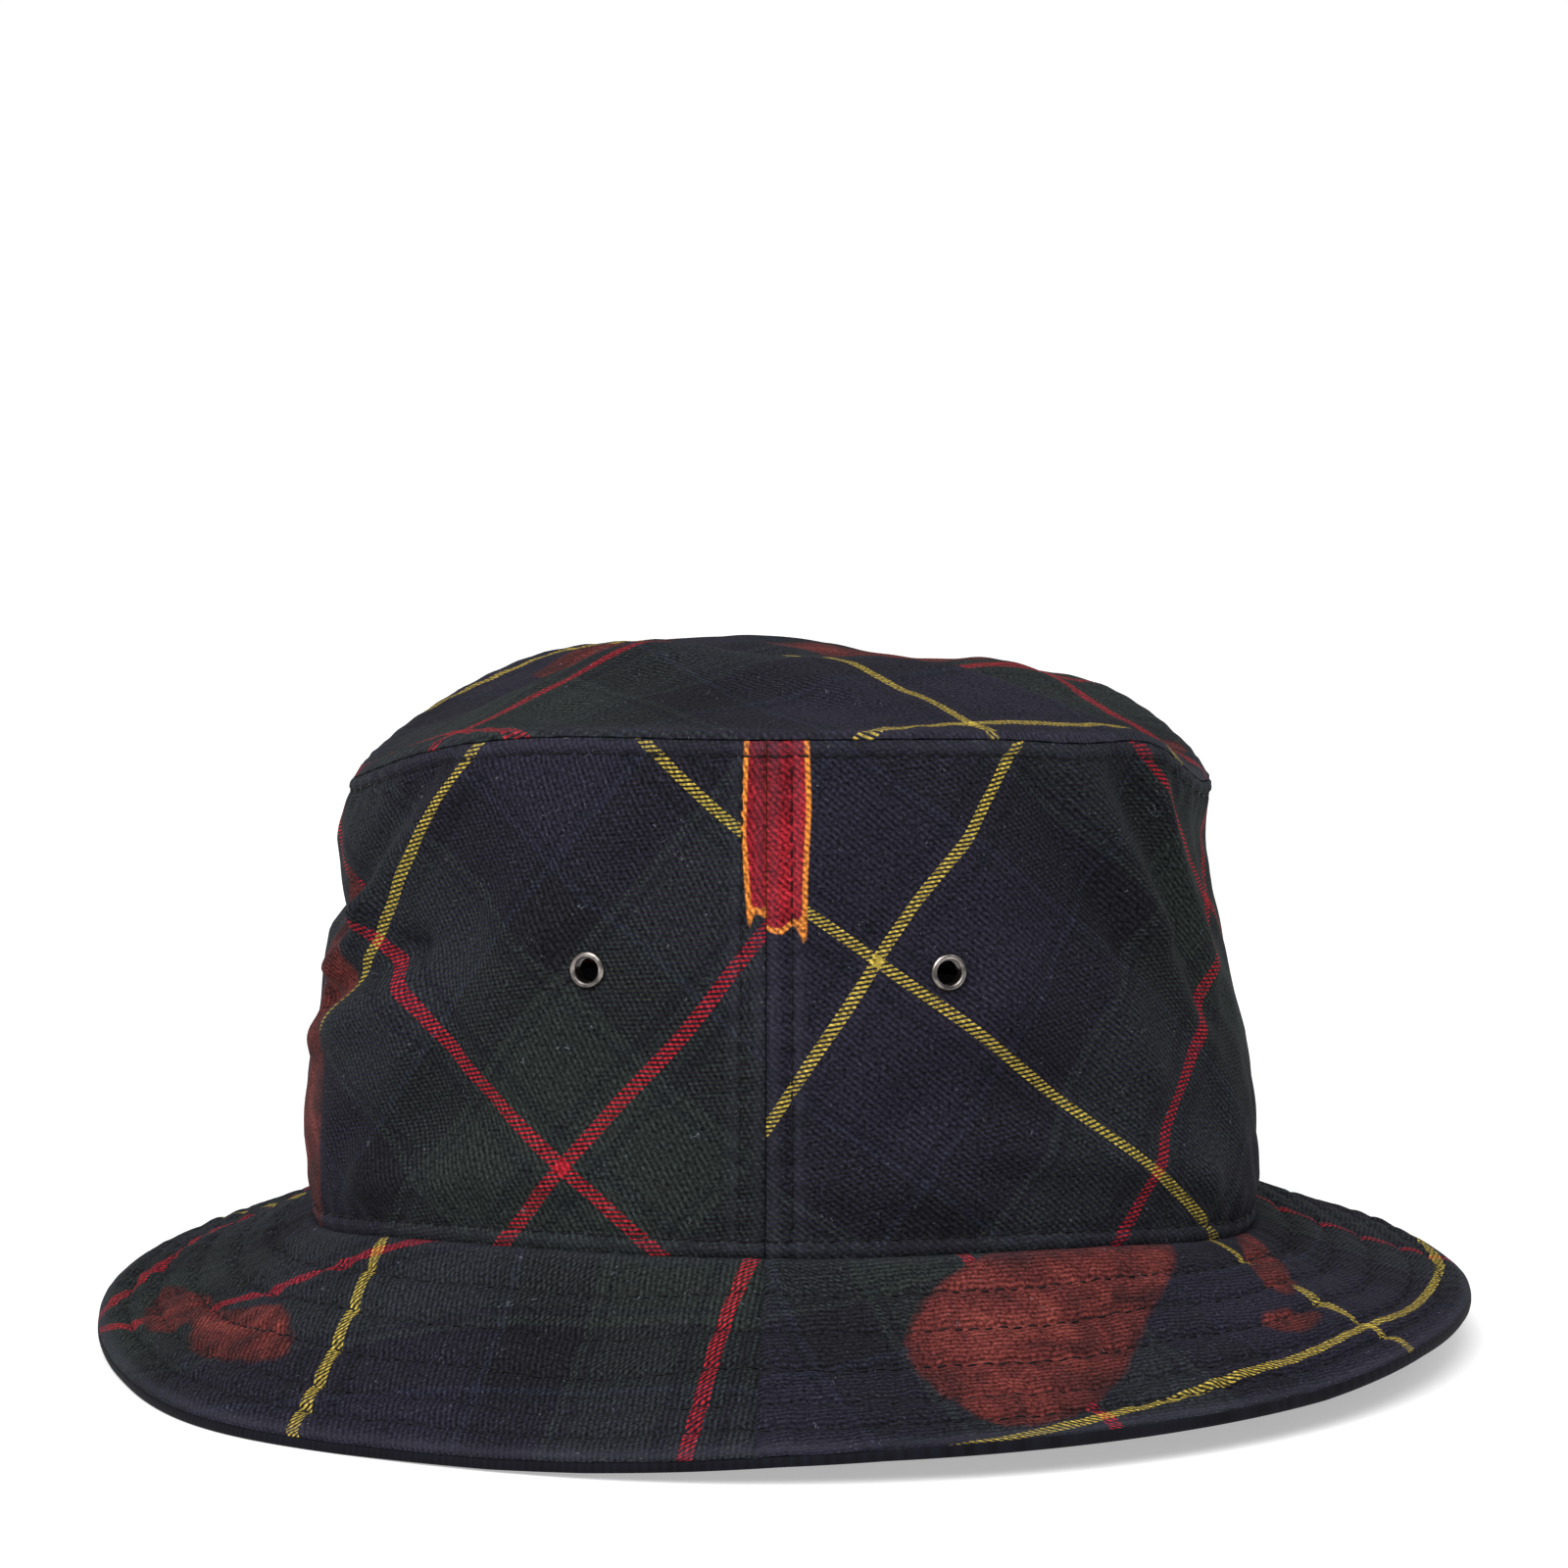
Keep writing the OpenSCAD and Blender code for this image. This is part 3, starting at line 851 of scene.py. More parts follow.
def check_material(check: Check) -> bpy.types.Material:
    """Checked cotton twill, with plain printed patches and a printed ribbon where a cut has them.

    Args:
        check: How the check lies on the cut.

    Returns:
        The finish.
    """
    material, frames = new_tree(
        check.name, ("Flat cut", "Sett", "Twill", "Printed patches", "Printed ribbon", "Tone", "Relief", "Cloth")
    )
    nodes, links = material.node_tree.nodes, material.node_tree.links

    # Flat cut: the cloth's own flat map, gently wandering, turned to the grain
    cut = nodes.new("ShaderNodeUVMap")
    cut.label = "Flat cut in metres"
    cut.uv_map = CUT_MAP
    wander = nodes.new("ShaderNodeTexNoise")
    wander.label = "Slack in the weave"
    wander.inputs["Scale"].default_value = 17.0
    wander.inputs["Detail"].default_value = 1.0
    centred = nodes.new("ShaderNodeVectorMath")
    centred.label = "Slack about zero"
    centred.operation = "SUBTRACT"
    centred.inputs[1].default_value = (0.5, 0.5, 0.5)
    slack = nodes.new("ShaderNodeVectorMath")
    slack.label = "Slack in metres"
    slack.operation = "SCALE"
    slack.inputs["Scale"].default_value = 0.0052
    moved = nodes.new("ShaderNodeVectorMath")
    moved.label = "Cut with slack"
    moved.operation = "ADD"
    turned = nodes.new("ShaderNodeMapping")
    turned.label = "Turn to the grain"
    turned.inputs["Rotation"].default_value = (0, 0, -math.radians(check.grain))
    turned.inputs["Scale"].default_value = (1 / check.stretch, 1 / check.stretch, 1)
    turned.inputs["Location"].default_value = (-check.weft_red, check.warp_red, 0)
    across = nodes.new("ShaderNodeSeparateXYZ")
    across.label = "Across weft and warp"
    links.new(cut.outputs["UV"], wander.inputs["Vector"])
    links.new(wander.outputs["Color"], centred.inputs[0])
    links.new(centred.outputs["Vector"], slack.inputs[0])
    links.new(cut.outputs["UV"], moved.inputs[0])
    links.new(slack.outputs["Vector"], moved.inputs[1])
    links.new(moved.outputs["Vector"], turned.inputs["Vector"])
    links.new(turned.outputs["Vector"], across.inputs["Vector"])

    # Sett: the same mirrored order of stripes for warp and weft
    warp_fold = nodes.new("ShaderNodeMath")
    warp_fold.label = "Mirror the warp order"
    warp_fold.operation = "PINGPONG"
    warp_fold.inputs[1].default_value = HALF_SETT
    weft_fold = nodes.new("ShaderNodeMath")
    weft_fold.label = "Mirror the weft order"
    weft_fold.operation = "PINGPONG"
    weft_fold.inputs[1].default_value = HALF_SETT
    warp_share = nodes.new("ShaderNodeMath")
    warp_share.label = "Warp place in order"
    warp_share.operation = "DIVIDE"
    warp_share.inputs[1].default_value = HALF_SETT
    weft_share = nodes.new("ShaderNodeMath")
    weft_share.label = "Weft place in order"
    weft_share.operation = "DIVIDE"
    weft_share.inputs[1].default_value = HALF_SETT
    warp_dye = nodes.new("ShaderNodeValToRGB")
    warp_dye.label = "Warp yarn colours"
    weft_dye = nodes.new("ShaderNodeValToRGB")
    weft_dye.label = "Weft yarn colours"
    stops, start = [], 0.0
    for stripe in SETT:
        stops.append((start * MM / HALF_SETT, stripe.colour))
        start = stripe.out_to
    for dye in (warp_dye, weft_dye):
        dye.color_ramp.interpolation = "CONSTANT"
        set_stops(dye.color_ramp, stops)
    links.new(across.outputs["Y"], warp_fold.inputs[0])
    links.new(across.outputs["X"], weft_fold.inputs[0])
    links.new(warp_fold.outputs[0], warp_share.inputs[0])
    links.new(weft_fold.outputs[0], weft_share.inputs[0])
    links.new(warp_share.outputs[0], warp_dye.inputs["Fac"])
    links.new(weft_share.outputs[0], weft_dye.inputs["Fac"])

    # Twill: diagonal floats let the warp show on one half of each rib and the weft on the other
    lean = nodes.new("ShaderNodeMath")
    lean.label = "Along the twill step"
    lean.operation = "ADD"
    count = nodes.new("ShaderNodeMath")
    count.label = "Count twill ribs"
    count.operation = "DIVIDE"
    count.inputs[1].default_value = 1.216 * MM
    rib = nodes.new("ShaderNodeMath")
    rib.label = "Place within a rib"
    rib.operation = "PINGPONG"
    rib.inputs[1].default_value = 0.5
    over = nodes.new("ShaderNodeMapRange")
    over.label = "Warp or weft on top"
    over.inputs["From Min"].default_value = 0.22
    over.inputs["From Max"].default_value = 0.28
    woven = nodes.new("ShaderNodeMix")
    woven.label = "Woven check"
    woven.data_type = "RGBA"
    links.new(across.outputs["X"], lean.inputs[0])
    links.new(across.outputs["Y"], lean.inputs[1])
    links.new(lean.outputs[0], count.inputs[0])
    links.new(count.outputs[0], rib.inputs[0])
    links.new(rib.outputs[0], over.inputs["Value"])
    links.new(over.outputs["Result"], woven.inputs["Factor"])
    links.new(warp_dye.outputs["Color"], woven.inputs["A"])
    links.new(weft_dye.outputs["Color"], woven.inputs["B"])

    # Printed patches: russet brush work inside the outlines stored on the mesh
    patch_gap = nodes.new("ShaderNodeAttribute")
    patch_gap.label = "Distance to patch"
    patch_gap.attribute_name = PATCH_SHADE
    fray = nodes.new("ShaderNodeTexNoise")
    fray.label = "Uneven ink edge"
    fray.inputs["Scale"].default_value = 260.0
    fray.inputs["Detail"].default_value = 4.0
    fray_size = nodes.new("ShaderNodeMath")
    fray_size.label = "Edge shift"
    fray_size.operation = "MULTIPLY_ADD"
    fray_size.inputs[1].default_value = 0.0024
    edge_gap = nodes.new("ShaderNodeMath")
    edge_gap.label = "Frayed distance"
    edge_gap.operation = "SUBTRACT"
    edge_gap.inputs[1].default_value = 0.0012
    patch_mask = nodes.new("ShaderNodeMapRange")
    patch_mask.label = "Inside a patch"
    patch_mask.inputs["From Min"].default_value = 0.0006
    patch_mask.inputs["From Max"].default_value = -0.0009
    patch_depth = nodes.new("ShaderNodeMapRange")
    patch_depth.label = "Darker rim"
    patch_depth.inputs["From Min"].default_value = 0.0
    patch_depth.inputs["From Max"].default_value = -0.015
    patch_depth.inputs["To Min"].default_value = 0.0
    patch_depth.inputs["To Max"].default_value = 0.12
    brush = nodes.new("ShaderNodeTexNoise")
    brush.label = "Brush work"
    brush.inputs["Scale"].default_value = 58.0
    brush.inputs["Detail"].default_value = 9.0
    brush.inputs["Roughness"].default_value = 0.62
    brush.inputs["Distortion"].default_value = 1.4
    brush_depth = nodes.new("ShaderNodeMath")
    brush_depth.label = "Brush with rim"
    brush_depth.operation = "ADD"
    ink = nodes.new("ShaderNodeValToRGB")
    ink.label = "Russet inks"
    set_stops(
        ink.color_ramp,
        (
            (0.30, tone(34, 22, 25, LIFT)),
            (0.48, tone(66, 33, 33, LIFT)),
            (0.62, tone(92, 42, 40, LIFT)),
            (0.78, tone(116, 56, 50, LIFT)),
            (0.95, tone(146, 88, 76, LIFT)),
        ),
    )
    patched = nodes.new("ShaderNodeMix")
    patched.label = "Check with patches"
    patched.data_type = "RGBA"
    links.new(cut.outputs["UV"], fray.inputs["Vector"])
    links.new(fray.outputs["Fac"], fray_size.inputs[0])
    links.new(patch_gap.outputs["Fac"], fray_size.inputs[2])
    links.new(fray_size.outputs[0], edge_gap.inputs[0])
    links.new(edge_gap.outputs[0], patch_mask.inputs["Value"])
    links.new(edge_gap.outputs[0], patch_depth.inputs["Value"])
    links.new(cut.outputs["UV"], brush.inputs["Vector"])
    links.new(brush.outputs["Fac"], brush_depth.inputs[0])
    links.new(patch_depth.outputs["Result"], brush_depth.inputs[1])
    links.new(brush_depth.outputs[0], ink.inputs["Fac"])
    links.new(patch_mask.outputs["Result"], patched.inputs["Factor"])
    links.new(woven.outputs["Result"], patched.inputs["A"])
    links.new(ink.outputs["Color"], patched.inputs["B"])

    # Printed ribbon: a red band with a thin orange line just inside its sides
    ribbon_gap = nodes.new("ShaderNodeAttribute")
    ribbon_gap.label = "Distance to ribbon"
    ribbon_gap.attribute_name = RIBBON_SHADE
    ribbon_mask = nodes.new("ShaderNodeMapRange")
    ribbon_mask.label = "Inside the ribbon"
    ribbon_mask.inputs["From Min"].default_value = 0.0002
    ribbon_mask.inputs["From Max"].default_value = -0.0002
    piping = nodes.new("ShaderNodeMapRange")
    piping.label = "Inside the orange line"
    piping.inputs["From Min"].default_value = -0.0008
    piping.inputs["From Max"].default_value = -0.0012
    ribbon_tone = nodes.new("ShaderNodeValToRGB")
    ribbon_tone.label = "Ribbon reds"
    set_stops(
        ribbon_tone.color_ramp,
        ((0.30, tone(100, 24, 32, LIFT)), (0.50, tone(138, 28, 38, LIFT)), (0.70, tone(160, 36, 46, LIFT))),
    )
    ribbon_ink = nodes.new("ShaderNodeMix")
    ribbon_ink.label = "Ribbon and its line"
    ribbon_ink.data_type = "RGBA"
    ribbon_ink.inputs["A"].default_value = tone(214, 128, 52, LIFT)
    printed = nodes.new("ShaderNodeMix")
    printed.label = "Cloth with all prints"
    printed.data_type = "RGBA"
    links.new(ribbon_gap.outputs["Fac"], ribbon_mask.inputs["Value"])
    links.new(ribbon_gap.outputs["Fac"], piping.inputs["Value"])
    links.new(brush.outputs["Fac"], ribbon_tone.inputs["Fac"])
    links.new(piping.outputs["Result"], ribbon_ink.inputs["Factor"])
    links.new(ribbon_tone.outputs["Color"], ribbon_ink.inputs["B"])
    links.new(ribbon_mask.outputs["Result"], printed.inputs["Factor"])
    links.new(patched.outputs["Result"], printed.inputs["A"])
    links.new(ribbon_ink.outputs["Result"], printed.inputs["B"])

    # Tone: slubby yarns, fading, wear with painted highlights along seam and edge ridges, and lint
    rib_map = nodes.new("ShaderNodeMapping")
    rib_map.label = "Turn to the cords"
    rib_map.inputs["Rotation"].default_value = (0, 0, -math.radians(check.rib_turn))
    cords = nodes.new("ShaderNodeTexWave")
    cords.label = "Fine cords"
    cords.wave_type = "BANDS"
    cords.bands_direction = "Y"
    cords.inputs["Scale"].default_value = WAVE_UNIT / (1.12 * MM)
    cords.inputs["Distortion"].default_value = 1.2
    cords.inputs["Detail"].default_value = 2.0
    cords.inputs["Detail Scale"].default_value = 0.25
    slub = nodes.new("ShaderNodeTexNoise")
    slub.label = "Slubby yarns"
    slub.inputs["Scale"].default_value = 1350.0
    slub.inputs["Detail"].default_value = 2.0
    fade = nodes.new("ShaderNodeTexNoise")
    fade.label = "Uneven fading"
    fade.inputs["Scale"].default_value = 32.0
    fade.inputs["Detail"].default_value = 5.0
    cord_gain = nodes.new("ShaderNodeMapRange")
    cord_gain.label = "Cord strength"
    cord_gain.inputs["To Min"].default_value = 0.60
    cord_gain.inputs["To Max"].default_value = 1.40
    slub_gain = nodes.new("ShaderNodeMapRange")
    slub_gain.label = "Slub strength"
    slub_gain.inputs["From Min"].default_value = 0.3
    slub_gain.inputs["From Max"].default_value = 0.7
    slub_gain.inputs["To Min"].default_value = 0.28
    slub_gain.inputs["To Max"].default_value = 1.85
    fade_gain = nodes.new("ShaderNodeMapRange")
    fade_gain.label = "Fading strength"
    fade_gain.inputs["From Min"].default_value = 0.3
    fade_gain.inputs["From Max"].default_value = 0.7
    fade_gain.inputs["To Min"].default_value = 0.88
    fade_gain.inputs["To Max"].default_value = 1.14
    grain_tone = nodes.new("ShaderNodeMath")
    grain_tone.label = "Cords and slubs"
    grain_tone.operation = "MULTIPLY"
    all_tone = nodes.new("ShaderNodeMath")
    all_tone.label = "All tone"
    all_tone.operation = "MULTIPLY"
    toned = nodes.new("ShaderNodeVectorMath")
    toned.label = "Toned cloth"
    toned.operation = "SCALE"
    # Painted highlight: a lighter bluish grey is mixed in along seam and edge ridges, partly wear
    wear_and_highlight = nodes.new("ShaderNodeAttribute")
    wear_and_highlight.label = "Worn edges and painted ridge highlights"
    wear_and_highlight.attribute_name = WEAR_AND_HIGHLIGHT_SHADE
    patchy_wear_and_highlight = nodes.new("ShaderNodeMath")
    patchy_wear_and_highlight.label = "Patchy wear and painted highlight"
    patchy_wear_and_highlight.operation = "MULTIPLY"
    worn_and_highlit = nodes.new("ShaderNodeMix")
    worn_and_highlit.label = "Cloth with wear and painted highlights"
    worn_and_highlit.data_type = "RGBA"
    worn_and_highlit.inputs["B"].default_value = tone(66, 66, 78, LIFT)
    lint = nodes.new("ShaderNodeTexNoise")
    lint.label = "Stray fibres"
    lint.inputs["Scale"].default_value = 620.0
    lint.inputs["Detail"].default_value = 1.0
    lint.inputs["Distortion"].default_value = 2.4
    lint_mask = nodes.new("ShaderNodeMapRange")
    lint_mask.label = "Only the thickest fibres"
    lint_mask.inputs["From Min"].default_value = 0.735
    lint_mask.inputs["From Max"].default_value = 0.785
    lint_mask.inputs["To Max"].default_value = 0.42
    linted = nodes.new("ShaderNodeMix")
    linted.label = "Cloth with lint"
    linted.data_type = "RGBA"
    linted.inputs["B"].default_value = tone(140, 142, 154, LIFT)
    links.new(cut.outputs["UV"], rib_map.inputs["Vector"])
    links.new(rib_map.outputs["Vector"], cords.inputs["Vector"])
    links.new(cut.outputs["UV"], slub.inputs["Vector"])
    links.new(cut.outputs["UV"], fade.inputs["Vector"])
    links.new(cords.outputs["Fac"], cord_gain.inputs["Value"])
    links.new(slub.outputs["Fac"], slub_gain.inputs["Value"])
    links.new(fade.outputs["Fac"], fade_gain.inputs["Value"])
    links.new(cord_gain.outputs["Result"], grain_tone.inputs[0])
    links.new(slub_gain.outputs["Result"], grain_tone.inputs[1])
    links.new(grain_tone.outputs[0], all_tone.inputs[0])
    links.new(fade_gain.outputs["Result"], all_tone.inputs[1])
    links.new(printed.outputs["Result"], toned.inputs[0])
    links.new(all_tone.outputs[0], toned.inputs["Scale"])
    links.new(wear_and_highlight.outputs["Fac"], patchy_wear_and_highlight.inputs[0])
    links.new(fade.outputs["Fac"], patchy_wear_and_highlight.inputs[1])
    links.new(patchy_wear_and_highlight.outputs[0], worn_and_highlit.inputs["Factor"])
    links.new(toned.outputs["Vector"], worn_and_highlit.inputs["A"])
    links.new(cut.outputs["UV"], lint.inputs["Vector"])
    links.new(lint.outputs["Fac"], lint_mask.inputs["Value"])
    links.new(lint_mask.outputs["Result"], linted.inputs["Factor"])
    links.new(worn_and_highlit.outputs["Result"], linted.inputs["A"])

    # Relief: rounded twill ribs, then fibres over them
    ribs = nodes.new("ShaderNodeBump")
    ribs.label = "Twill ribs"
    ribs.inputs["Distance"].default_value = 0.10 * MM
    ribs.inputs["Strength"].default_value = 0.6
    cord_relief = nodes.new("ShaderNodeBump")
    cord_relief.label = "Cord relief"
    cord_relief.inputs["Distance"].default_value = 0.10 * MM
    cord_relief.inputs["Strength"].default_value = 0.55
    fibres = nodes.new("ShaderNodeBump")
    fibres.label = "Fibre relief"
    fibres.inputs["Distance"].default_value = 0.12 * MM
    fibres.inputs["Strength"].default_value = 0.5
    links.new(rib.outputs[0], ribs.inputs["Height"])
    links.new(cords.outputs["Fac"], cord_relief.inputs["Height"])
    links.new(ribs.outputs["Normal"], cord_relief.inputs["Normal"])
    links.new(slub.outputs["Fac"], fibres.inputs["Height"])
    links.new(cord_relief.outputs["Normal"], fibres.inputs["Normal"])

    # Cloth: matt, with a soft nap
    cloth = nodes.new("ShaderNodeBsdfPrincipled")
    cloth.label = "Brushed cotton"
    cloth.inputs["Roughness"].default_value = 0.86
    cloth.inputs["Specular IOR Level"].default_value = 0.06
    cloth.inputs["Sheen Weight"].default_value = 0.015
    cloth.inputs["Sheen Roughness"].default_value = 0.45
    cloth.inputs["Sheen Tint"].default_value = (0.75, 0.78, 0.92, 1)
    out = nodes.new("ShaderNodeOutputMaterial")
    out.label = "Checked twill"
    links.new(linted.outputs["Result"], cloth.inputs["Base Color"])
    links.new(fibres.outputs["Normal"], cloth.inputs["Normal"])
    links.new(cloth.outputs["BSDF"], out.inputs["Surface"])
    lay_out(
        frames,
        {
            "Flat cut": (cut, wander, centred, slack, moved, turned, across),
            "Sett": (warp_fold, weft_fold, warp_share, weft_share, warp_dye, weft_dye),
            "Twill": (lean, count, rib, over, woven),
            "Printed patches": (
                patch_gap, fray, fray_size, edge_gap, patch_mask, patch_depth, brush, brush_depth, ink, patched,
            ),
            "Printed ribbon": (ribbon_gap, ribbon_mask, piping, ribbon_tone, ribbon_ink, printed),
            "Tone": (
                rib_map, cords, slub, fade, cord_gain, slub_gain, fade_gain, grain_tone, all_tone, toned, wear_and_highlight,
                patchy_wear_and_highlight, worn_and_highlit, lint, lint_mask, linted,
            ),
            "Relief": (ribs, cord_relief, fibres),
            "Cloth": (cloth, out),
        },
    )
    return material


@dataclass(frozen=True)
class PlainCloth:
    """A plain woven cloth or tape."""

    name: str
    dark: Colour
    light: Colour
    rib_pitch: float
    rib_turn: float
    relief: float
    sheen: float
    roughness: float = 0.85


def plain_material(cloth_kind: PlainCloth) -> bpy.types.Material:
    """Plain ribbed cloth read from the piece's flat cut.

    Args:
        cloth_kind: Its colours and weave.

    Returns:
        The finish.
    """
    material, frames = new_tree(cloth_kind.name, ("Flat cut", "Weave", "Tone", "Cloth"))
    nodes, links = material.node_tree.nodes, material.node_tree.links
    cut = nodes.new("ShaderNodeUVMap")
    cut.label = "Flat cut in metres"
    cut.uv_map = CUT_MAP
    turned = nodes.new("ShaderNodeMapping")
    turned.label = "Turn to the ribs"
    turned.inputs["Rotation"].default_value = (0, 0, -math.radians(cloth_kind.rib_turn))
    split = nodes.new("ShaderNodeSeparateXYZ")
    split.label = "Across the ribs"
    count = nodes.new("ShaderNodeMath")
    count.label = "Count ribs"
    count.operation = "DIVIDE"
    count.inputs[1].default_value = cloth_kind.rib_pitch
    rib = nodes.new("ShaderNodeMath")
    rib.label = "Rounded rib"
    rib.operation = "PINGPONG"
    rib.inputs[1].default_value = 0.5
    slub = nodes.new("ShaderNodeTexNoise")
    slub.label = "Uneven yarns"
    slub.inputs["Scale"].default_value = 1100.0
    slub.inputs["Detail"].default_value = 2.0
    fade = nodes.new("ShaderNodeTexNoise")
    fade.label = "Uneven fading"
    fade.inputs["Scale"].default_value = 40.0
    fade.inputs["Detail"].default_value = 4.0
    blend = nodes.new("ShaderNodeMath")
    blend.label = "Rib with yarns"
    blend.operation = "ADD"
    blend_fade = nodes.new("ShaderNodeMath")
    blend_fade.label = "With fading"
    blend_fade.operation = "ADD"
    dye = nodes.new("ShaderNodeValToRGB")
    dye.label = "Yarn colours"
    set_stops(dye.color_ramp, ((0.30, cloth_kind.dark), (0.72, cloth_kind.light)))
    span = nodes.new("ShaderNodeMath")
    span.label = "Share of full tone"
    span.operation = "DIVIDE"
    span.inputs[1].default_value = 2.5
    relief = nodes.new("ShaderNodeBump")
    relief.label = "Rib relief"
    relief.inputs["Distance"].default_value = cloth_kind.relief
    relief.inputs["Strength"].default_value = 0.7
    fibres = nodes.new("ShaderNodeBump")
    fibres.label = "Fibre relief"
    fibres.inputs["Distance"].default_value = 0.10 * MM
    fibres.inputs["Strength"].default_value = 0.5
    cloth = nodes.new("ShaderNodeBsdfPrincipled")
    cloth.label = "Plain cloth"
    cloth.inputs["Roughness"].default_value = cloth_kind.roughness
    cloth.inputs["Specular IOR Level"].default_value = 0.10
    cloth.inputs["Sheen Weight"].default_value = cloth_kind.sheen
    cloth.inputs["Sheen Roughness"].default_value = 0.45
    out = nodes.new("ShaderNodeOutputMaterial")
    out.label = "Finished cloth"
    links.new(cut.outputs["UV"], turned.inputs["Vector"])
    links.new(turned.outputs["Vector"], split.inputs["Vector"])
    links.new(split.outputs["Y"], count.inputs[0])
    links.new(count.outputs[0], rib.inputs[0])
    links.new(cut.outputs["UV"], slub.inputs["Vector"])
    links.new(cut.outputs["UV"], fade.inputs["Vector"])
    links.new(rib.outputs[0], blend.inputs[0])
    links.new(slub.outputs["Fac"], blend.inputs[1])
    links.new(blend.outputs[0], blend_fade.inputs[0])
    links.new(fade.outputs["Fac"], blend_fade.inputs[1])
    links.new(blend_fade.outputs[0], span.inputs[0])
    links.new(span.outputs[0], dye.inputs["Fac"])
    links.new(rib.outputs[0], relief.inputs["Height"])
    links.new(slub.outputs["Fac"], fibres.inputs["Height"])
    links.new(relief.outputs["Normal"], fibres.inputs["Normal"])
    links.new(dye.outputs["Color"], cloth.inputs["Base Color"])
    links.new(fibres.outputs["Normal"], cloth.inputs["Normal"])
    links.new(cloth.outputs["BSDF"], out.inputs["Surface"])
    lay_out(
        frames,
        {
            "Flat cut": (cut, turned, split),
            "Weave": (count, rib, relief, fibres),
            "Tone": (slub, fade, blend, blend_fade, dye, span),
            "Cloth": (cloth, out),
        },
    )
    return material


def thread_material(name: str, dark: Colour, light: Colour) -> bpy.types.Material:
    """Twisted sewing thread with a faint gloss.

    Args:
        name: The material's name.
        dark: Colour between the strands.
        light: Colour on the strands.

    Returns:
        The finish.
    """
    material, frames = new_tree(name, ("Strands", "Thread"))
    nodes, links = material.node_tree.nodes, material.node_tree.links
    place = nodes.new("ShaderNodeTexCoord")
    place.label = "Place on the hat"
    strands = nodes.new("ShaderNodeTexNoise")
    strands.label = "Twisted strands"
    strands.inputs["Scale"].default_value = 2400.0
    strands.inputs["Detail"].default_value = 2.0
    dye = nodes.new("ShaderNodeValToRGB")
    dye.label = "Thread colours"
    set_stops(dye.color_ramp, ((0.35, dark), (0.65, light)))
    relief = nodes.new("ShaderNodeBump")
    relief.label = "Strand relief"
    relief.inputs["Distance"].default_value = 0.08 * MM
    relief.inputs["Strength"].default_value = 0.6
    body = nodes.new("ShaderNodeBsdfPrincipled")
    body.label = "Polyester thread"
    body.inputs["Roughness"].default_value = 0.55
    body.inputs["Specular IOR Level"].default_value = 0.2
    out = nodes.new("ShaderNodeOutputMaterial")
    out.label = "Sewing thread"
    links.new(place.outputs["Object"], strands.inputs["Vector"])
    links.new(strands.outputs["Fac"], dye.inputs["Fac"])
    links.new(strands.outputs["Fac"], relief.inputs["Height"])
    links.new(dye.outputs["Color"], body.inputs["Base Color"])
    links.new(relief.outputs["Normal"], body.inputs["Normal"])
    links.new(body.outputs["BSDF"], out.inputs["Surface"])
    lay_out(
        frames,
        {
            "Strands": (place, strands, dye, relief),
            "Thread": (body, out),
        },
    )
    return material


def gunmetal_material(name: str) -> bpy.types.Material:
    """Dark antique metal, a little brighter and smoother in patches."""
    material, frames = new_tree(name, ("Patina", "Metal"))
    nodes, links = material.node_tree.nodes, material.node_tree.links
    place = nodes.new("ShaderNodeTexCoord")
    place.label = "Place on the hat"
    patina = nodes.new("ShaderNodeTexNoise")
    patina.label = "Patina"
    patina.inputs["Scale"].default_value = 420.0
    patina.inputs["Detail"].default_value = 5.0
    metal_tone = nodes.new("ShaderNodeValToRGB")
    metal_tone.label = "Metal colours"
    set_stops(
        metal_tone.color_ramp,
        ((0.35, tone(84, 80, 78)), (0.52, tone(128, 122, 118)), (0.70, tone(176, 168, 162))),
    )
    gloss = nodes.new("ShaderNodeMapRange")
    gloss.label = "Uneven polish"
    gloss.inputs["To Min"].default_value = 0.40
    gloss.inputs["To Max"].default_value = 0.20
    scuffs = nodes.new("ShaderNodeTexNoise")
    scuffs.label = "Scuffs"
    scuffs.inputs["Scale"].default_value = 2600.0
    relief = nodes.new("ShaderNodeBump")
    relief.label = "Scuff relief"
    relief.inputs["Distance"].default_value = 0.02 * MM
    relief.inputs["Strength"].default_value = 0.4
    metal = nodes.new("ShaderNodeBsdfPrincipled")
    metal.label = "Gunmetal"
    metal.inputs["Metallic"].default_value = 1.0
    out = nodes.new("ShaderNodeOutputMaterial")
    out.label = "Eyelet metal"
    links.new(place.outputs["Object"], patina.inputs["Vector"])
    links.new(patina.outputs["Fac"], metal_tone.inputs["Fac"])
    links.new(patina.outputs["Fac"], gloss.inputs["Value"])
    links.new(place.outputs["Object"], scuffs.inputs["Vector"])
    links.new(scuffs.outputs["Fac"], relief.inputs["Height"])
    links.new(metal_tone.outputs["Color"], metal.inputs["Base Color"])
    links.new(gloss.outputs["Result"], metal.inputs["Roughness"])
    links.new(relief.outputs["Normal"], metal.inputs["Normal"])
    links.new(metal.outputs["BSDF"], out.inputs["Surface"])
    lay_out(
        frames,
        {
            "Patina": (place, patina, metal_tone, gloss, scuffs, relief),
            "Metal": (metal, out),
        },
    )
    return material


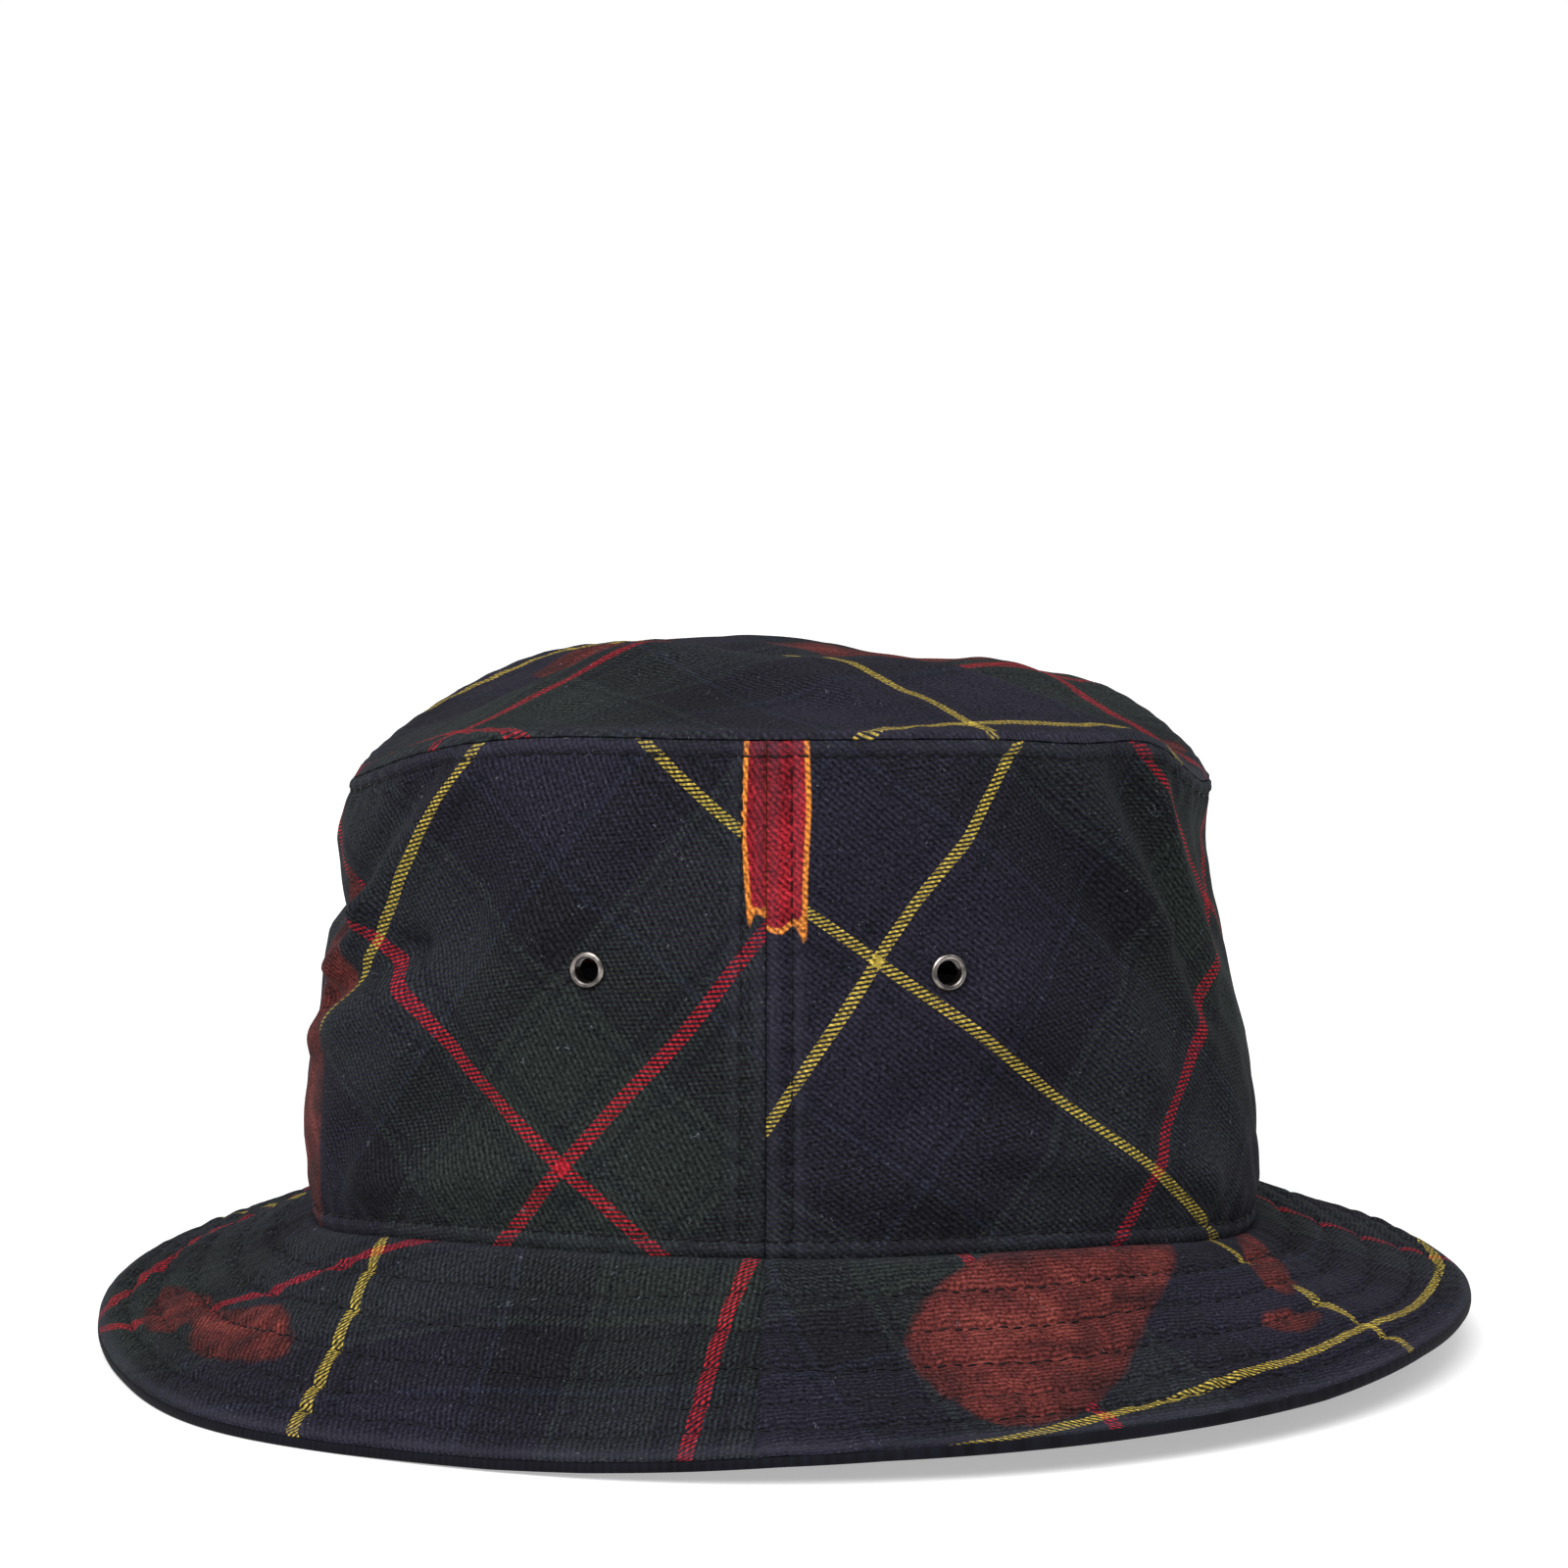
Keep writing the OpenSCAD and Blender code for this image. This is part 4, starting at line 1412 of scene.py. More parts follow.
@dataclass
class Finishes:
    """Every finish of the hat, made once."""

    crown_front: bpy.types.Material = None
    crown_back: bpy.types.Material = None
    tip: bpy.types.Material = None
    brim_front: bpy.types.Material = None
    brim_back: bpy.types.Material = None
    navy: bpy.types.Material = None
    canvas: bpy.types.Material = None
    tape: bpy.types.Material = None
    thread: bpy.types.Material = None
    gunmetal: bpy.types.Material = None
    satin: bpy.types.Material = None

    def mix(self) -> None:
        """Makes the materials."""
        shift = 4.0
        front, back = math.radians(54.5), math.radians(50.5)
        self.crown_front = check_material(
            Check(
                "check_crown_front",
                54.5,
                (55.7 + shift * math.sin(front)) * MM,
                (131.5 + shift * math.cos(front)) * MM,
                -40,
            )
        )
        self.crown_back = check_material(
            Check(
                "check_crown_back",
                50.5,
                (-43.75 + shift * math.sin(back)) * MM,
                (-15.0 + shift * math.cos(back)) * MM,
                -62,
            )
        )
        self.tip = check_material(Check("check_tip", 36.4, -1.0 * MM, -78.5 * MM, -35))
        self.brim_front = check_material(Check("check_brim_front", 20.0, -8.1 * MM, 43 * MM, 8))
        self.brim_back = check_material(Check("check_brim_back", 78.0, -2.0 * MM, 8.0 * MM, 84, 1.1))
        # Darker than the check's navy: partly the cloth's own dark navy, partly painted shade for the under side of
        # the brim and the sweatband, which lie in shade
        self.navy = plain_material(
            PlainCloth("dark_navy_twill_with_painted_shade", tone(8, 8, 12), tone(20, 20, 29), 1.1 * MM, 28, 0.16 * MM, 0.015)
        )
        self.canvas = plain_material(
            PlainCloth("stiff_canvas", tone(34, 34, 38), tone(58, 58, 63), 0.6 * MM, 0, 0.10 * MM, 0.05)
        )
        self.tape = plain_material(
            PlainCloth("woven_tape", tone(14, 14, 20), tone(34, 34, 46), 0.8 * MM, 45, 0.14 * MM, 0.015)
        )
        self.thread = thread_material("navy_thread", tone(3, 3, 5), tone(12, 12, 17))
        self.gunmetal = gunmetal_material("antique_gunmetal")
        self.satin = plain_material(
            PlainCloth("satin_label", tone(196, 194, 186), tone(226, 225, 218), 0.35 * MM, 0, 0.05 * MM, 0.2, 0.42)
        )


# ---------------------------------------------------------------- crown

RIBBONS = (
    PrintShape(((-1.0, 104), (8.6, 104), (9.0, 88), (8.2, 74), (8.0, 60.5), (5.6, 65.5), (3.0, 63.5), (-1.0, 64.5))),
)
RIBBON_TAILS = (PrintShape(((-4.6, 104), (1.0, 104), (1.0, 66), (-2.2, 68), (-3.6, 64.0), (-5.2, 84))),)
CROWN_PATCHES = (
    leaf(-120, 36, 84, 21, 84, 3),
    leaf(-137, 14, 44, 18, 70, 5),
    leaf(-112, 62, 26, 9, 112, 0),
    leaf(-196, 60, 60, 26, 60, 4),
    leaf(-232, 30, 52, 24, 115, 3),
)
FRONT_CROWN_PATCHES = (
    leaf(168, 58, 66, 26, 100, 4),
    leaf(196, 22, 46, 20, 30, 3),
    leaf(236, 70, 54, 24, 140, 5),
)
TIP_PATCHES = (leaf(26, 44, 62, 24, 12, 4), leaf(-40, 40, 44, 20, 60, 3), leaf(78, 6, 22, 9, 60, 0))


@dataclass
class Crown:
    """The crown: its oval tip and the two panels of its wall."""

    form: HatForm
    finishes: Finishes
    cloth_t: float = 1.0 * MM
    slit: float = 0.06
    columns: int = 288
    wall_rows: int = 104
    tip_rings: int = 58
    tip_spokes: int = 300

    def build(self) -> None:
        """Builds and dresses the crown's cloth."""
        for half in Half:
            self.panel(half)
        self.tip()

    def panel(self, half: Half) -> None:
        """Builds one wall panel, with the eyelets' holes.

        Args:
            half: Which half of the wall it covers.
        """
        form = self.form
        low = -form.turn_in / form.wall_height
        if half is Half.FRONT:
            patches, ribbons, material = FRONT_CROWN_PATCHES, RIBBONS, self.finishes.crown_front
        else:
            patches, ribbons, material = CROWN_PATCHES, RIBBON_TAILS, self.finishes.crown_back

        def place(a: Array, b: Array) -> Array:
            """Points of the panel."""
            t, s = half.turn(a, self.slit), low + (1 - low) * b
            return form.wall(t, s, form.wall_relief(t, s))

        piece, a, b = cloth_grid(f"crown_{half.word}_cloth", self.columns, self.wall_rows, place)
        x, y = form.wall_along(half.turn(a, self.slit)), (low + (1 - low) * b) * form.wall_height
        lay_cut(piece, x, y)
        shade(piece, PATCH_SHADE, nearest(patches, x, y))
        shade(piece, RIBBON_SHADE, nearest(ribbons, x, y))
        side = np.minimum(np.abs(x), form.wall_arcs[-1] - np.abs(x))
        # Painted highlight: lighter along the rim, the foot, the rolled side seams and beside their stitch rows,
        # partly wear
        wear_and_highlight = 0.5 * wear_and_highlight_at(form.wall_height - y - 1.2 * MM, 1.4 * MM) + 0.4 * wear_and_highlight_at(y - 1.2 * MM, 1.2 * MM)
        wear_and_highlight = wear_and_highlight + 0.45 * wear_and_highlight_at(side - 1.4 * MM, 1.0 * MM)
        wear_and_highlight = wear_and_highlight + 0.45 * wear_and_highlight_at(np.abs(side - form.seam_stitch - 1.4 * MM), 0.9 * MM)
        shade(piece, WEAR_AND_HIGHLIGHT_SHADE, np.clip(wear_and_highlight, 0, 1))
        thicken(piece, self.cloth_t)
        self.punch(piece)
        hand_over(
            piece,
            [f"crown_{half.word}_panel"],
            material,
            cut=FlatCut.strip(form.wall_arcs[-1], form.wall_height + form.turn_in),
        )

    def punch(self, piece: bpy.types.Object) -> None:
        """Cuts the eyelets' holes through a panel.

        Args:
            piece: The panel.
        """
        front = piece.name.startswith("crown_front")
        for place, axis in self.form.eyelets:
            if (place.x > 0) != front:
                continue
            clear_choice()
            bpy.ops.mesh.primitive_cylinder_add(
                vertices=32,
                radius=2.9 * MM,
                depth=16 * MM,
                location=place,
                rotation=axis.to_track_quat("Z", "Y").to_euler(),
            )
            punch = bpy.context.object
            choose(piece)
            hole = piece.modifiers.new("hole", "BOOLEAN")
            hole.operation = "DIFFERENCE"
            hole.object = punch
            hole.solver = "EXACT"
            bpy.ops.object.modifier_apply(modifier=hole.name)
            bpy.data.objects.remove(punch, do_unlink=True)

    def tip(self) -> None:
        """Builds the crown's oval tip."""
        form = self.form

        def place(a: Array, b: Array) -> Array:
            """Points of the tip, ring by ring from the rim to the middle."""
            t, r = -90 + 360 * a, 1 - b
            relief = form.tip_relief(t, r)
            points = form.tip(t, r, 1.25 * MM + relief)
            inset = 0.4 * MM * np.clip(1 - (1 - r) * 84 / 1.7, 0, 1) ** 2
            _, _, nx, ny = form.oval(form.rim, t)
            push_out(points, nx, ny, -inset)
            return points

        piece, _, _ = cloth_grid("crown_tip_cloth", self.tip_spokes, self.tip_rings, place)
        close_ring(piece)
        x, y, _ = vertex_places(piece).T
        lay_cut(piece, x, y)
        shade(piece, PATCH_SHADE, nearest(TIP_PATCHES, x, y))
        shade(piece, RIBBON_SHADE, np.full(len(x), FAR_AWAY))
        inside = (1 - np.hypot(x / form.rim[0], y / form.rim[1])) * 84 * MM
        # Painted highlight: lighter beside the tip's seam ridge, partly wear
        shade(piece, WEAR_AND_HIGHLIGHT_SHADE, 0.5 * wear_and_highlight_at(inside - 1.6 * MM, 1.6 * MM))
        thicken(piece, self.cloth_t)
        width, length = 2 * form.rim[0], 2 * form.rim[1]
        hand_over(
            piece,
            ["crown_tip"],
            self.finishes.tip,
            cut=FlatCut(width, length, math.pi / 4 * width * length),
        )


# ---------------------------------------------------------------- brim

BRIM_FRONT_PATCHES = (
    leaf(57, -6, 84, 38, 62, 3),
    leaf(64, 24, 42, 17, 100, 3),
    leaf(103, 44, 40, 10, 100, 0),
    leaf(108, 14, 16, 9, 40, 0),
    leaf(236, 30, 60, 24, 100, 4),
)
BRIM_BACK_PATCHES = (
    leaf(-111, 17, 44, 17, 130, 4),
    leaf(-134, 44, 36, 15, 118, 3),
    leaf(-214, 40, 44, 22, 80, 4),
)
FRONT_CURL = 2.6
BACK_CURL = 7.1


@dataclass
class Brim:
    """The brim: checked upper halves, canvas interlinings and navy under halves."""

    form: HatForm
    finishes: Finishes
    upper_t: float = 0.85 * MM
    core_t: float = 1.0 * MM
    under_t: float = 0.7 * MM
    slit: float = 0.004
    columns: int = 430
    rows: int = 76

    def build(self) -> None:
        """Builds and dresses the brim's layers."""
        for half in Half:
            self.upper(half)
            self.core(half)
            self.under(half)

    def flat_cut(self) -> FlatCut:
        """Flat size of one half of the brim: a curved strip of the brim's own cone."""
        form = self.form
        inner = float(np.pi * math.sqrt((form.base[0] ** 2 + form.base[1] ** 2) / 2))
        outer = float(np.pi * math.sqrt((form.edge[0] ** 2 + form.edge[1] ** 2) / 2))
        sweep = (outer - inner) / form.slant
        far, near = outer / sweep, inner / sweep
        width = 2 * far * math.sin(min(sweep, math.pi) / 2)
        length = far - near * math.cos(sweep / 2)
        return FlatCut(width, length, (inner + outer) / 2 * form.slant)

    def upper(self, half: Half) -> None:
        """Builds one checked upper half.

        Args:
            half: Which half of the brim it covers.
        """
        form = self.form
        curled = 0.045
        if half is Half.FRONT:
            patches, curl, material = BRIM_FRONT_PATCHES, FRONT_CURL, self.finishes.brim_front
        else:
            patches, curl, material = BRIM_BACK_PATCHES, BACK_CURL, self.finishes.brim_back

        def place(a: Array, b: Array) -> Array:
            """Points from the edge, which curls over, up to the seam."""
            t = half.turn(a, self.slit)
            q = np.where(b < curled, 1.0, 1 - (b - curled) / (1 - curled))
            relief = form.brim_relief(t, q)
            points = form.brim(t, q, 0.0)
            _, _, nx, ny = form.oval(form.edge, t)
            bend = np.clip((0.985 - q) / 0.03, 0, 1)
            points[:, 2] += relief * BRIM_RISE
            push_out(points, nx, ny, relief * BRIM_LEAN * bend)
            swing = np.clip((curled - b) / curled, 0, 1) * math.radians(115)
            push_out(points, nx, ny, 0.55 * MM * np.sin(swing))
            points[:, 2] -= 0.75 * MM * (1 - np.cos(swing))
            return points

        piece, a, b = cloth_grid(f"brim_upper_{half.word}_cloth", self.columns, self.rows, place)
        t = half.turn(a, self.slit)
        q = 1 - (b - curled) / (1 - curled)
        lay_cut(piece, *form.brim_flat(t, q, curl))
        shade(piece, PATCH_SHADE, nearest(patches, *form.brim_flat(t, q, BACK_CURL)))
        shade(piece, RIBBON_SHADE, np.full(len(t), FAR_AWAY))
        # Painted highlight: lighter along the rolled edge and beside the seam ridge, partly wear
        wear_and_highlight = 0.7 * wear_and_highlight_at((1 - q) * form.slant, 1.6 * MM) + 0.3 * wear_and_highlight_at(q * form.slant - 1.6 * MM, 1.4 * MM)
        shade(piece, WEAR_AND_HIGHLIGHT_SHADE, wear_and_highlight)
        thicken(piece, self.upper_t)
        hand_over(
            piece,
            [f"brim_upper_{half.word}"],
            material,
            cut=self.flat_cut(),
        )

    def core(self, half: Half) -> None:
        """Builds one canvas interlining, inside the brim.

        Args:
            half: Which half of the brim it covers.
        """
        form = self.form

        def place(a: Array, b: Array) -> Array:
            """Points from near the edge up to near the seam."""
            return form.brim(half.turn(a, self.slit), 0.965 - 0.935 * b, 1.15 * MM)

        piece, a, b = cloth_grid(f"brim_core_{half.word}_cloth", 160, 16, place)
        x, y = form.brim_flat(half.turn(a, self.slit), 0.965 - 0.935 * b, BACK_CURL)
        lay_cut(piece, x, y)
        thicken(piece, self.core_t)
        hand_over(
            piece,
            [f"brim_interlining_{half.word}"],
            self.finishes.canvas,
            cut=self.flat_cut(),
        )

    def under(self, half: Half) -> None:
        """Builds one navy under half, rolled up a little at the edge.

        Args:
            half: Which half of the brim it covers.
        """
        form = self.form
        rolled = 0.91

        def place(a: Array, b: Array) -> Array:
            """Points from the seam out to the edge, then up round it."""
            t = half.turn(a, self.slit)
            q = np.clip(b / rolled, 0, 1)
            points = form.brim(t, q, form.brim_t - UNDER_TUCK)
            points[:, 2] -= form.under_relief(t, q)
            rest = form.edge_lift(t) + 0.02 * MM
            flat = ramp(q, 0.90, 0.965)
            points[:, 2] = points[:, 2] * (1 - flat) + np.maximum(rest, 0) * flat
            _, _, nx, ny = form.oval(form.edge, t)
            over = np.clip((b - rolled) / (1 - rolled), 0, 1) * math.radians(165)
            high = (1.18 + 0.42 * ramp(turn_between(t, -84), 0, 14) * (1 - ramp(turn_between(t, 0), 0, 40))) * MM
            push_out(points, nx, ny, 0.75 * MM * np.sin(over))
            points[:, 2] += high * (1 - np.cos(over))
            return points

        piece, a, b = cloth_grid(f"brim_under_{half.word}_cloth", self.columns, 64, place)
        x, y = form.brim_flat(half.turn(a, self.slit), np.clip(b / rolled, 0, 1), BACK_CURL)
        lay_cut(piece, x, y)
        thicken(piece, self.under_t)
        hand_over(
            piece,
            [f"brim_under_{half.word}"],
            self.finishes.navy,
            cut=self.flat_cut(),
        )


# ---------------------------------------------------------------- inside

@dataclass
class Lining:
    """The sweatband and the tapes over the crown's inner seams."""

    form: HatForm
    finishes: Finishes
    band_share: float = 0.3
    band_t: float = 1.0 * MM
    tape_t: float = 0.5 * MM

    def build(self) -> None:
        """Builds and dresses the inside pieces."""
        self.sweatband()
        self.rim_tape()
        for side in (Side.RIGHT, Side.LEFT):
            self.side_tape(side)

    def ring(
        self, name: str, low: float, high: float, out: float, columns: int, rows: int, puff: float
    ) -> bpy.types.Object:
        """Builds a ring of cloth inside the wall.

        Args:
            name: Name of the piece.
            low: Share of the wall's height where it starts.
            high: Share where it ends.
            out: Offset of its outer face from the wall's outer face.
            columns: Faces round the hat.
            rows: Faces up the wall.
            puff: How far its middle stands inwards.

        Returns:
            The piece.
        """
        form = self.form

        def place(a: Array, b: Array) -> Array:
            """Points of the ring."""
            t, s = -180 + 360 * a, low + (high - low) * b
            m = form.wall_along(t) / MM
            wave = 0.25 * MM * ripple(m, b * 30, 30, 61)
            return form.wall(t, s, out - puff * np.sin(np.pi * b) + np.minimum(wave, 0))

        piece, a, b = cloth_grid(name, columns, rows, place)
        lay_cut(piece, a * 2 * form.wall_arcs[-1], b * (high - low) * form.wall_height)
        close_ring(piece)
        return piece

    def sweatband(self) -> None:
        """Builds the folded navy sweatband."""
        form = self.form
        piece = self.ring("sweatband_cloth", -0.02, self.band_share, -2.15 * MM, 320, 26, 0.5 * MM)
        thicken(piece, self.band_t)
        hand_over(
            piece,
            ["sweatband"],
            self.finishes.navy,
            cut=FlatCut.strip(2 * form.wall_arcs[-1], (self.band_share + 0.02) * form.wall_height),
        )

    def rim_tape(self) -> None:
        """Builds the tape over the tip's seam."""
        form = self.form
        piece = self.ring("rim_tape", 0.888, 0.998, -1.55 * MM, 260, 10, 0.0)
        thicken(piece, self.tape_t)
        hand_over(
            piece,
            ["tip_seam_tape"],
            self.finishes.tape,
            cut=FlatCut.strip(2 * form.wall_arcs[-1], 0.11 * form.wall_height),
        )

    def side_tape(self, side: Side) -> None:
        """Builds the tape over one side seam.

        Args:
            side: Which side seam it covers.
        """
        form = self.form
        half_width = 3.6

        def place(a: Array, b: Array) -> Array:
            """Points of the tape."""
            t = side.value + half_width * (2 * a - 1)
            return form.wall(t, 0.01 + 0.92 * b, -1.6 * MM)

        piece, a, b = cloth_grid(f"side_tape_{side.name.lower()}", 12, 60, place)
        width = form.wall_arcs[-1] * 2 * half_width / 180
        height = 0.92 * form.wall_height
        lay_cut(piece, a * width, b * height)
        thicken(piece, 0.45 * MM)
        hand_over(
            piece,
            [f"side_seam_tape_{side.name.lower()}"],
            self.finishes.tape,
            cut=FlatCut.strip(width, height),
        )


# ---------------------------------------------------------------- metal

@dataclass
class Eyelets:
    """The four rolled eyelets and the washers that they are clenched over."""

    form: HatForm
    finishes: Finishes
    hole_r: float = 2.4 * MM
    facets: int = 40

    def build(self) -> None:
        """Models one eyelet and one washer, then sets a copy of each at every hole."""
        eyelet = self.turned(
            "eyelet_blank",
            (
                (2.40, -1.90), (2.40, -0.80), (2.40, 0.20), (2.50, 0.58), (2.76, 0.84), (3.12, 0.92), (3.46, 0.80),
                (3.72, 0.50), (3.80, 0.20), (3.70, -0.04), (3.40, 0.02), (3.00, 0.02), (2.76, -0.10), (2.76, -1.72),
                (3.10, -1.70), (3.36, -1.80), (3.38, -2.04), (3.10, -2.18), (2.76, -2.20), (2.50, -2.10),
            ),
        )
        washer = self.turned(
            "washer_blank",
            ((2.86, -1.66), (2.86, -1.34), (2.96, -1.26), (3.70, -1.26), (3.80, -1.34), (3.80, -1.62), (3.70, -1.68)),
        )
        for place, axis in self.form.eyelets:
            end = "front" if place.x > 0 else "back"
            side = "left" if place.y > 0 else "right"
            for blank, kind in ((eyelet, "eyelet"), (washer, "washer")):
                self.set_in(blank, f"{kind}_{end}_{side}", place, axis)
        for blank in (eyelet, washer):
            bpy.data.objects.remove(blank, do_unlink=True)

    def turned(self, name: str, profile: Sequence[tuple[float, float]]) -> bpy.types.Object:
        """Turns a closed profile round the z axis by extruding a ring through its points.

        Args:
            name: Name of the piece.
            profile: Radius and height of each point, in millimetres.

        Returns:
            The turned piece, about the origin.
        """
        clear_choice()
        radius, height = profile[0]
        bpy.ops.mesh.primitive_circle_add(
            vertices=self.facets, radius=radius * MM, fill_type="NOTHING", location=(0, 0, height * MM)
        )
        piece = bpy.context.object
        piece.name = name
        bpy.ops.object.transform_apply(location=True, rotation=True, scale=True)
        bpy.ops.object.mode_set(mode="EDIT")
        for next_radius, next_height in (*profile[1:], profile[0]):
            bpy.ops.mesh.extrude_edges_move(TRANSFORM_OT_translate={"value": (0, 0, (next_height - height) * MM)})
            scale = next_radius / radius
            bpy.ops.transform.resize(value=(scale, scale, 1))
            radius, height = next_radius, next_height
        bpy.ops.mesh.select_all(action="SELECT")
        bpy.ops.mesh.remove_doubles(threshold=1e-6)
        bpy.ops.mesh.normals_make_consistent(inside=False)
        bpy.ops.object.mode_set(mode="OBJECT")
        round_off = piece.modifiers.new("round", "SUBSURF")
        round_off.levels = round_off.render_levels = 1
        bpy.ops.object.modifier_apply(modifier=round_off.name)
        bpy.ops.object.shade_smooth_by_angle(angle=math.radians(60))
        return piece

    def set_in(self, blank: bpy.types.Object, name: str, place: Vector, axis: Vector) -> None:
        """Sets a copy of a blank at one hole.

        Args:
            blank: The modelled eyelet or washer.
            name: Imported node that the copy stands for.
            place: The mount's place.
            axis: The mount's outward axis.
        """
        piece = blank.copy()
        piece.data = blank.data.copy()
        piece.name = piece.data.name = f"{name}_metal"
        bpy.context.collection.objects.link(piece)
        seat = Matrix.Translation(place + axis * EYELET_FACE) @ axis.to_track_quat("Z", "Y").to_matrix().to_4x4()
        piece.data.transform(seat)
        hand_over(piece, [name], self.finishes.gunmetal)


# ---------------------------------------------------------------- stitching

@dataclass
class Stitching:
    """Every visible row of stitches, each made of copies of one short thread."""

    form: HatForm
    finishes: Finishes
    length: float = 2.55 * MM
    pitch: float = 3.15 * MM
    radius: float = 0.21 * MM

    def build(self) -> None:
        """Models one stitch and lays the rows."""
        stitch = self.one_stitch()
        self.crown_rows(stitch)
        self.brim_rows(stitch)
        bpy.data.objects.remove(stitch, do_unlink=True)

    def one_stitch(self) -> bpy.types.Object:
        """Models one stitch along x, its two ends bent down into the cloth.

        Returns:
            The stitch, about the origin.
        """
        clear_choice()
        bpy.ops.mesh.primitive_cylinder_add(
            vertices=6, radius=self.radius, depth=self.length, rotation=(0, math.pi / 2, 0)
        )
        stitch = bpy.context.object
        stitch.name = "stitch_blank"
        bpy.ops.object.transform_apply(location=True, rotation=True, scale=True)
        bpy.ops.object.mode_set(mode="EDIT")
        for share in (-0.40, -0.2, 0.2, 0.40):
            bpy.ops.mesh.select_all(action="SELECT")
            bpy.ops.mesh.bisect(plane_co=(share * self.length, 0, 0), plane_no=(1, 0, 0))
        bpy.ops.object.mode_set(mode="OBJECT")
        for vertex in stitch.data.vertices:
            f = abs(vertex.co.x) / (self.length / 2)
            slim = 1 - 0.35 * f ** 4
            vertex.co.y *= slim
            vertex.co.z = vertex.co.z * slim - 0.42 * MM * f ** 4
        bpy.ops.object.shade_smooth()
        return stitch

    def lay(self, stitch: bpy.types.Object, points: Array, normals: Array) -> Array:
        """Copies of the stitch along a row.

        Args:
            stitch: The modelled stitch.
            points: Dense points along the row, on the cloth's face.
            normals: Outward directions at those points.

        Returns:
            Every copy's vertices.
        """
        shape = np.array([v.co[:] for v in stitch.data.vertices])
        gaps = np.linalg.norm(np.diff(points, axis=0), axis=1)
        along = np.concatenate([[0.0], np.cumsum(gaps)])
        count = max(int(along[-1] / self.pitch), 1)
        middles = (np.arange(count) + 0.5) * along[-1] / count
        made = []
        draw = random.Random(len(points) + count)
        reach = self.length / 2 * 0.9
        for middle in middles:
            ends = [self.at(along, points, middle + side * reach) for side in (-1, 1)]
            centre = self.at(along, points, middle)
            normal = self.at(along, normals, middle)
            tangent = ends[1] - ends[0]
            tangent = tangent / np.linalg.norm(tangent)
            normal = normal - tangent * normal.dot(tangent)
            normal = normal / np.linalg.norm(normal)
            side = np.cross(normal, tangent)
            skew = draw.uniform(-0.05, 0.05)
            turned = tangent * math.cos(skew) + side * math.sin(skew)
            across = np.cross(normal, turned)
            lift = draw.uniform(0.02, 0.09) * MM
            made.append(centre + normal * lift + shape @ np.stack([turned, across, normal]))
        return np.concatenate(made)

    @staticmethod
    def at(along: Array, rows: Array, place: float) -> Array:
        """A row of numbers interpolated at a distance along it."""
        return np.array([np.interp(place, along, rows[:, k]) for k in range(3)])

    def sew(
        self, stitch: bpy.types.Object, name: str, runs: Sequence[tuple[Array, Array]], nodes: Sequence[str]
    ) -> None:
        """Makes one piece out of one or more runs of stitches.

        Args:
            stitch: The modelled stitch.
            name: Name of the piece.
            runs: Points and normals of each run.
            nodes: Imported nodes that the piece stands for.
        """
        vertices = np.concatenate([self.lay(stitch, points, normals) for points, normals in runs])
        faces = [tuple(p.vertices) for p in stitch.data.polygons]
        size = len(stitch.data.vertices)
        copies = len(vertices) // size
        mesh = bpy.data.meshes.new(name)
        mesh.from_pydata(
            vertices.tolist(), [], [tuple(v + size * k for v in face) for k in range(copies) for face in faces]
        )
        mesh.polygons.foreach_set("use_smooth", [True] * len(mesh.polygons))
        piece = bpy.data.objects.new(name, mesh)
        bpy.context.collection.objects.link(piece)
        hand_over(piece, nodes, self.finishes.thread, note=f"in {copies} stitches")

    def wall_run(self, t: Array, s: Array) -> tuple[Array, Array]:
        """Points and normals of a run on the crown wall."""
        form = self.form
        points = form.wall(t, s, form.wall_relief(t, s) + 0.16 * MM)
        _, _, nx, ny = form.oval(form.base, t)
        return points, np.stack([nx, ny, np.full(len(t), 0.09)], 1)

    def crown_rows(self, stitch: bpy.types.Object) -> None:
        """Sews the rows at the rim, at the brim seam and beside the side seams.

        Args:
            stitch: The modelled stitch.
        """
        form = self.form
        t = np.linspace(-90, 270, 1441)
        rim = np.full_like(t, 1 - form.edge_stitch / form.wall_height)
        foot = np.full_like(t, form.edge_stitch / form.wall_height)
        self.sew(stitch, "rim_stitches", [self.wall_run(t, rim)], ["crown_stitching"])
        self.sew(stitch, "crown_foot_stitches", [self.wall_run(t, foot)], [])
        runs = []
        s = np.linspace(0.045, 0.955, 200)
        for seam in Side:
            for sign in (-1, 1):
                angle = float(np.interp(form.seam_stitch, form.wall_arcs, form.arc_angles))
                runs.append(self.wall_run(np.full_like(s, seam.value + sign * angle), s))
        self.sew(stitch, "side_seam_stitches", runs, [])

    def brim_rows(self, stitch: bpy.types.Object) -> None:
        """Sews the rows of the brim, above and below.

        Args:
            stitch: The modelled stitch.
        """
        form = self.form
        t = np.linspace(-90, 270, 2161)
        _, _, nx, ny = form.oval(form.edge, t)
        for number, share in enumerate(form.stitch_shares, 1):
            q = np.full_like(t, share)
            top = form.brim(t, q, 0.0)
            relief = form.brim_relief(t, q) + 0.14 * MM
            top[:, 2] += relief * BRIM_RISE
            push_out(top, nx, ny, relief * BRIM_LEAN)
            up = np.stack([nx * BRIM_LEAN, ny * BRIM_LEAN, np.full(len(t), BRIM_RISE)], 1)
            self.sew(stitch, f"brim_row_{number}", [(top, up)], ["brim_stitching"] if number == 1 else [])
            if share < 0.9:
                low = form.brim(t, q, form.brim_t - UNDER_TUCK)
                low[:, 2] -= form.under_relief(t, q) + 0.10 * MM
                self.sew(stitch, f"brim_under_row_{number}", [(low, -up)], [])


# ---------------------------------------------------------------- care label

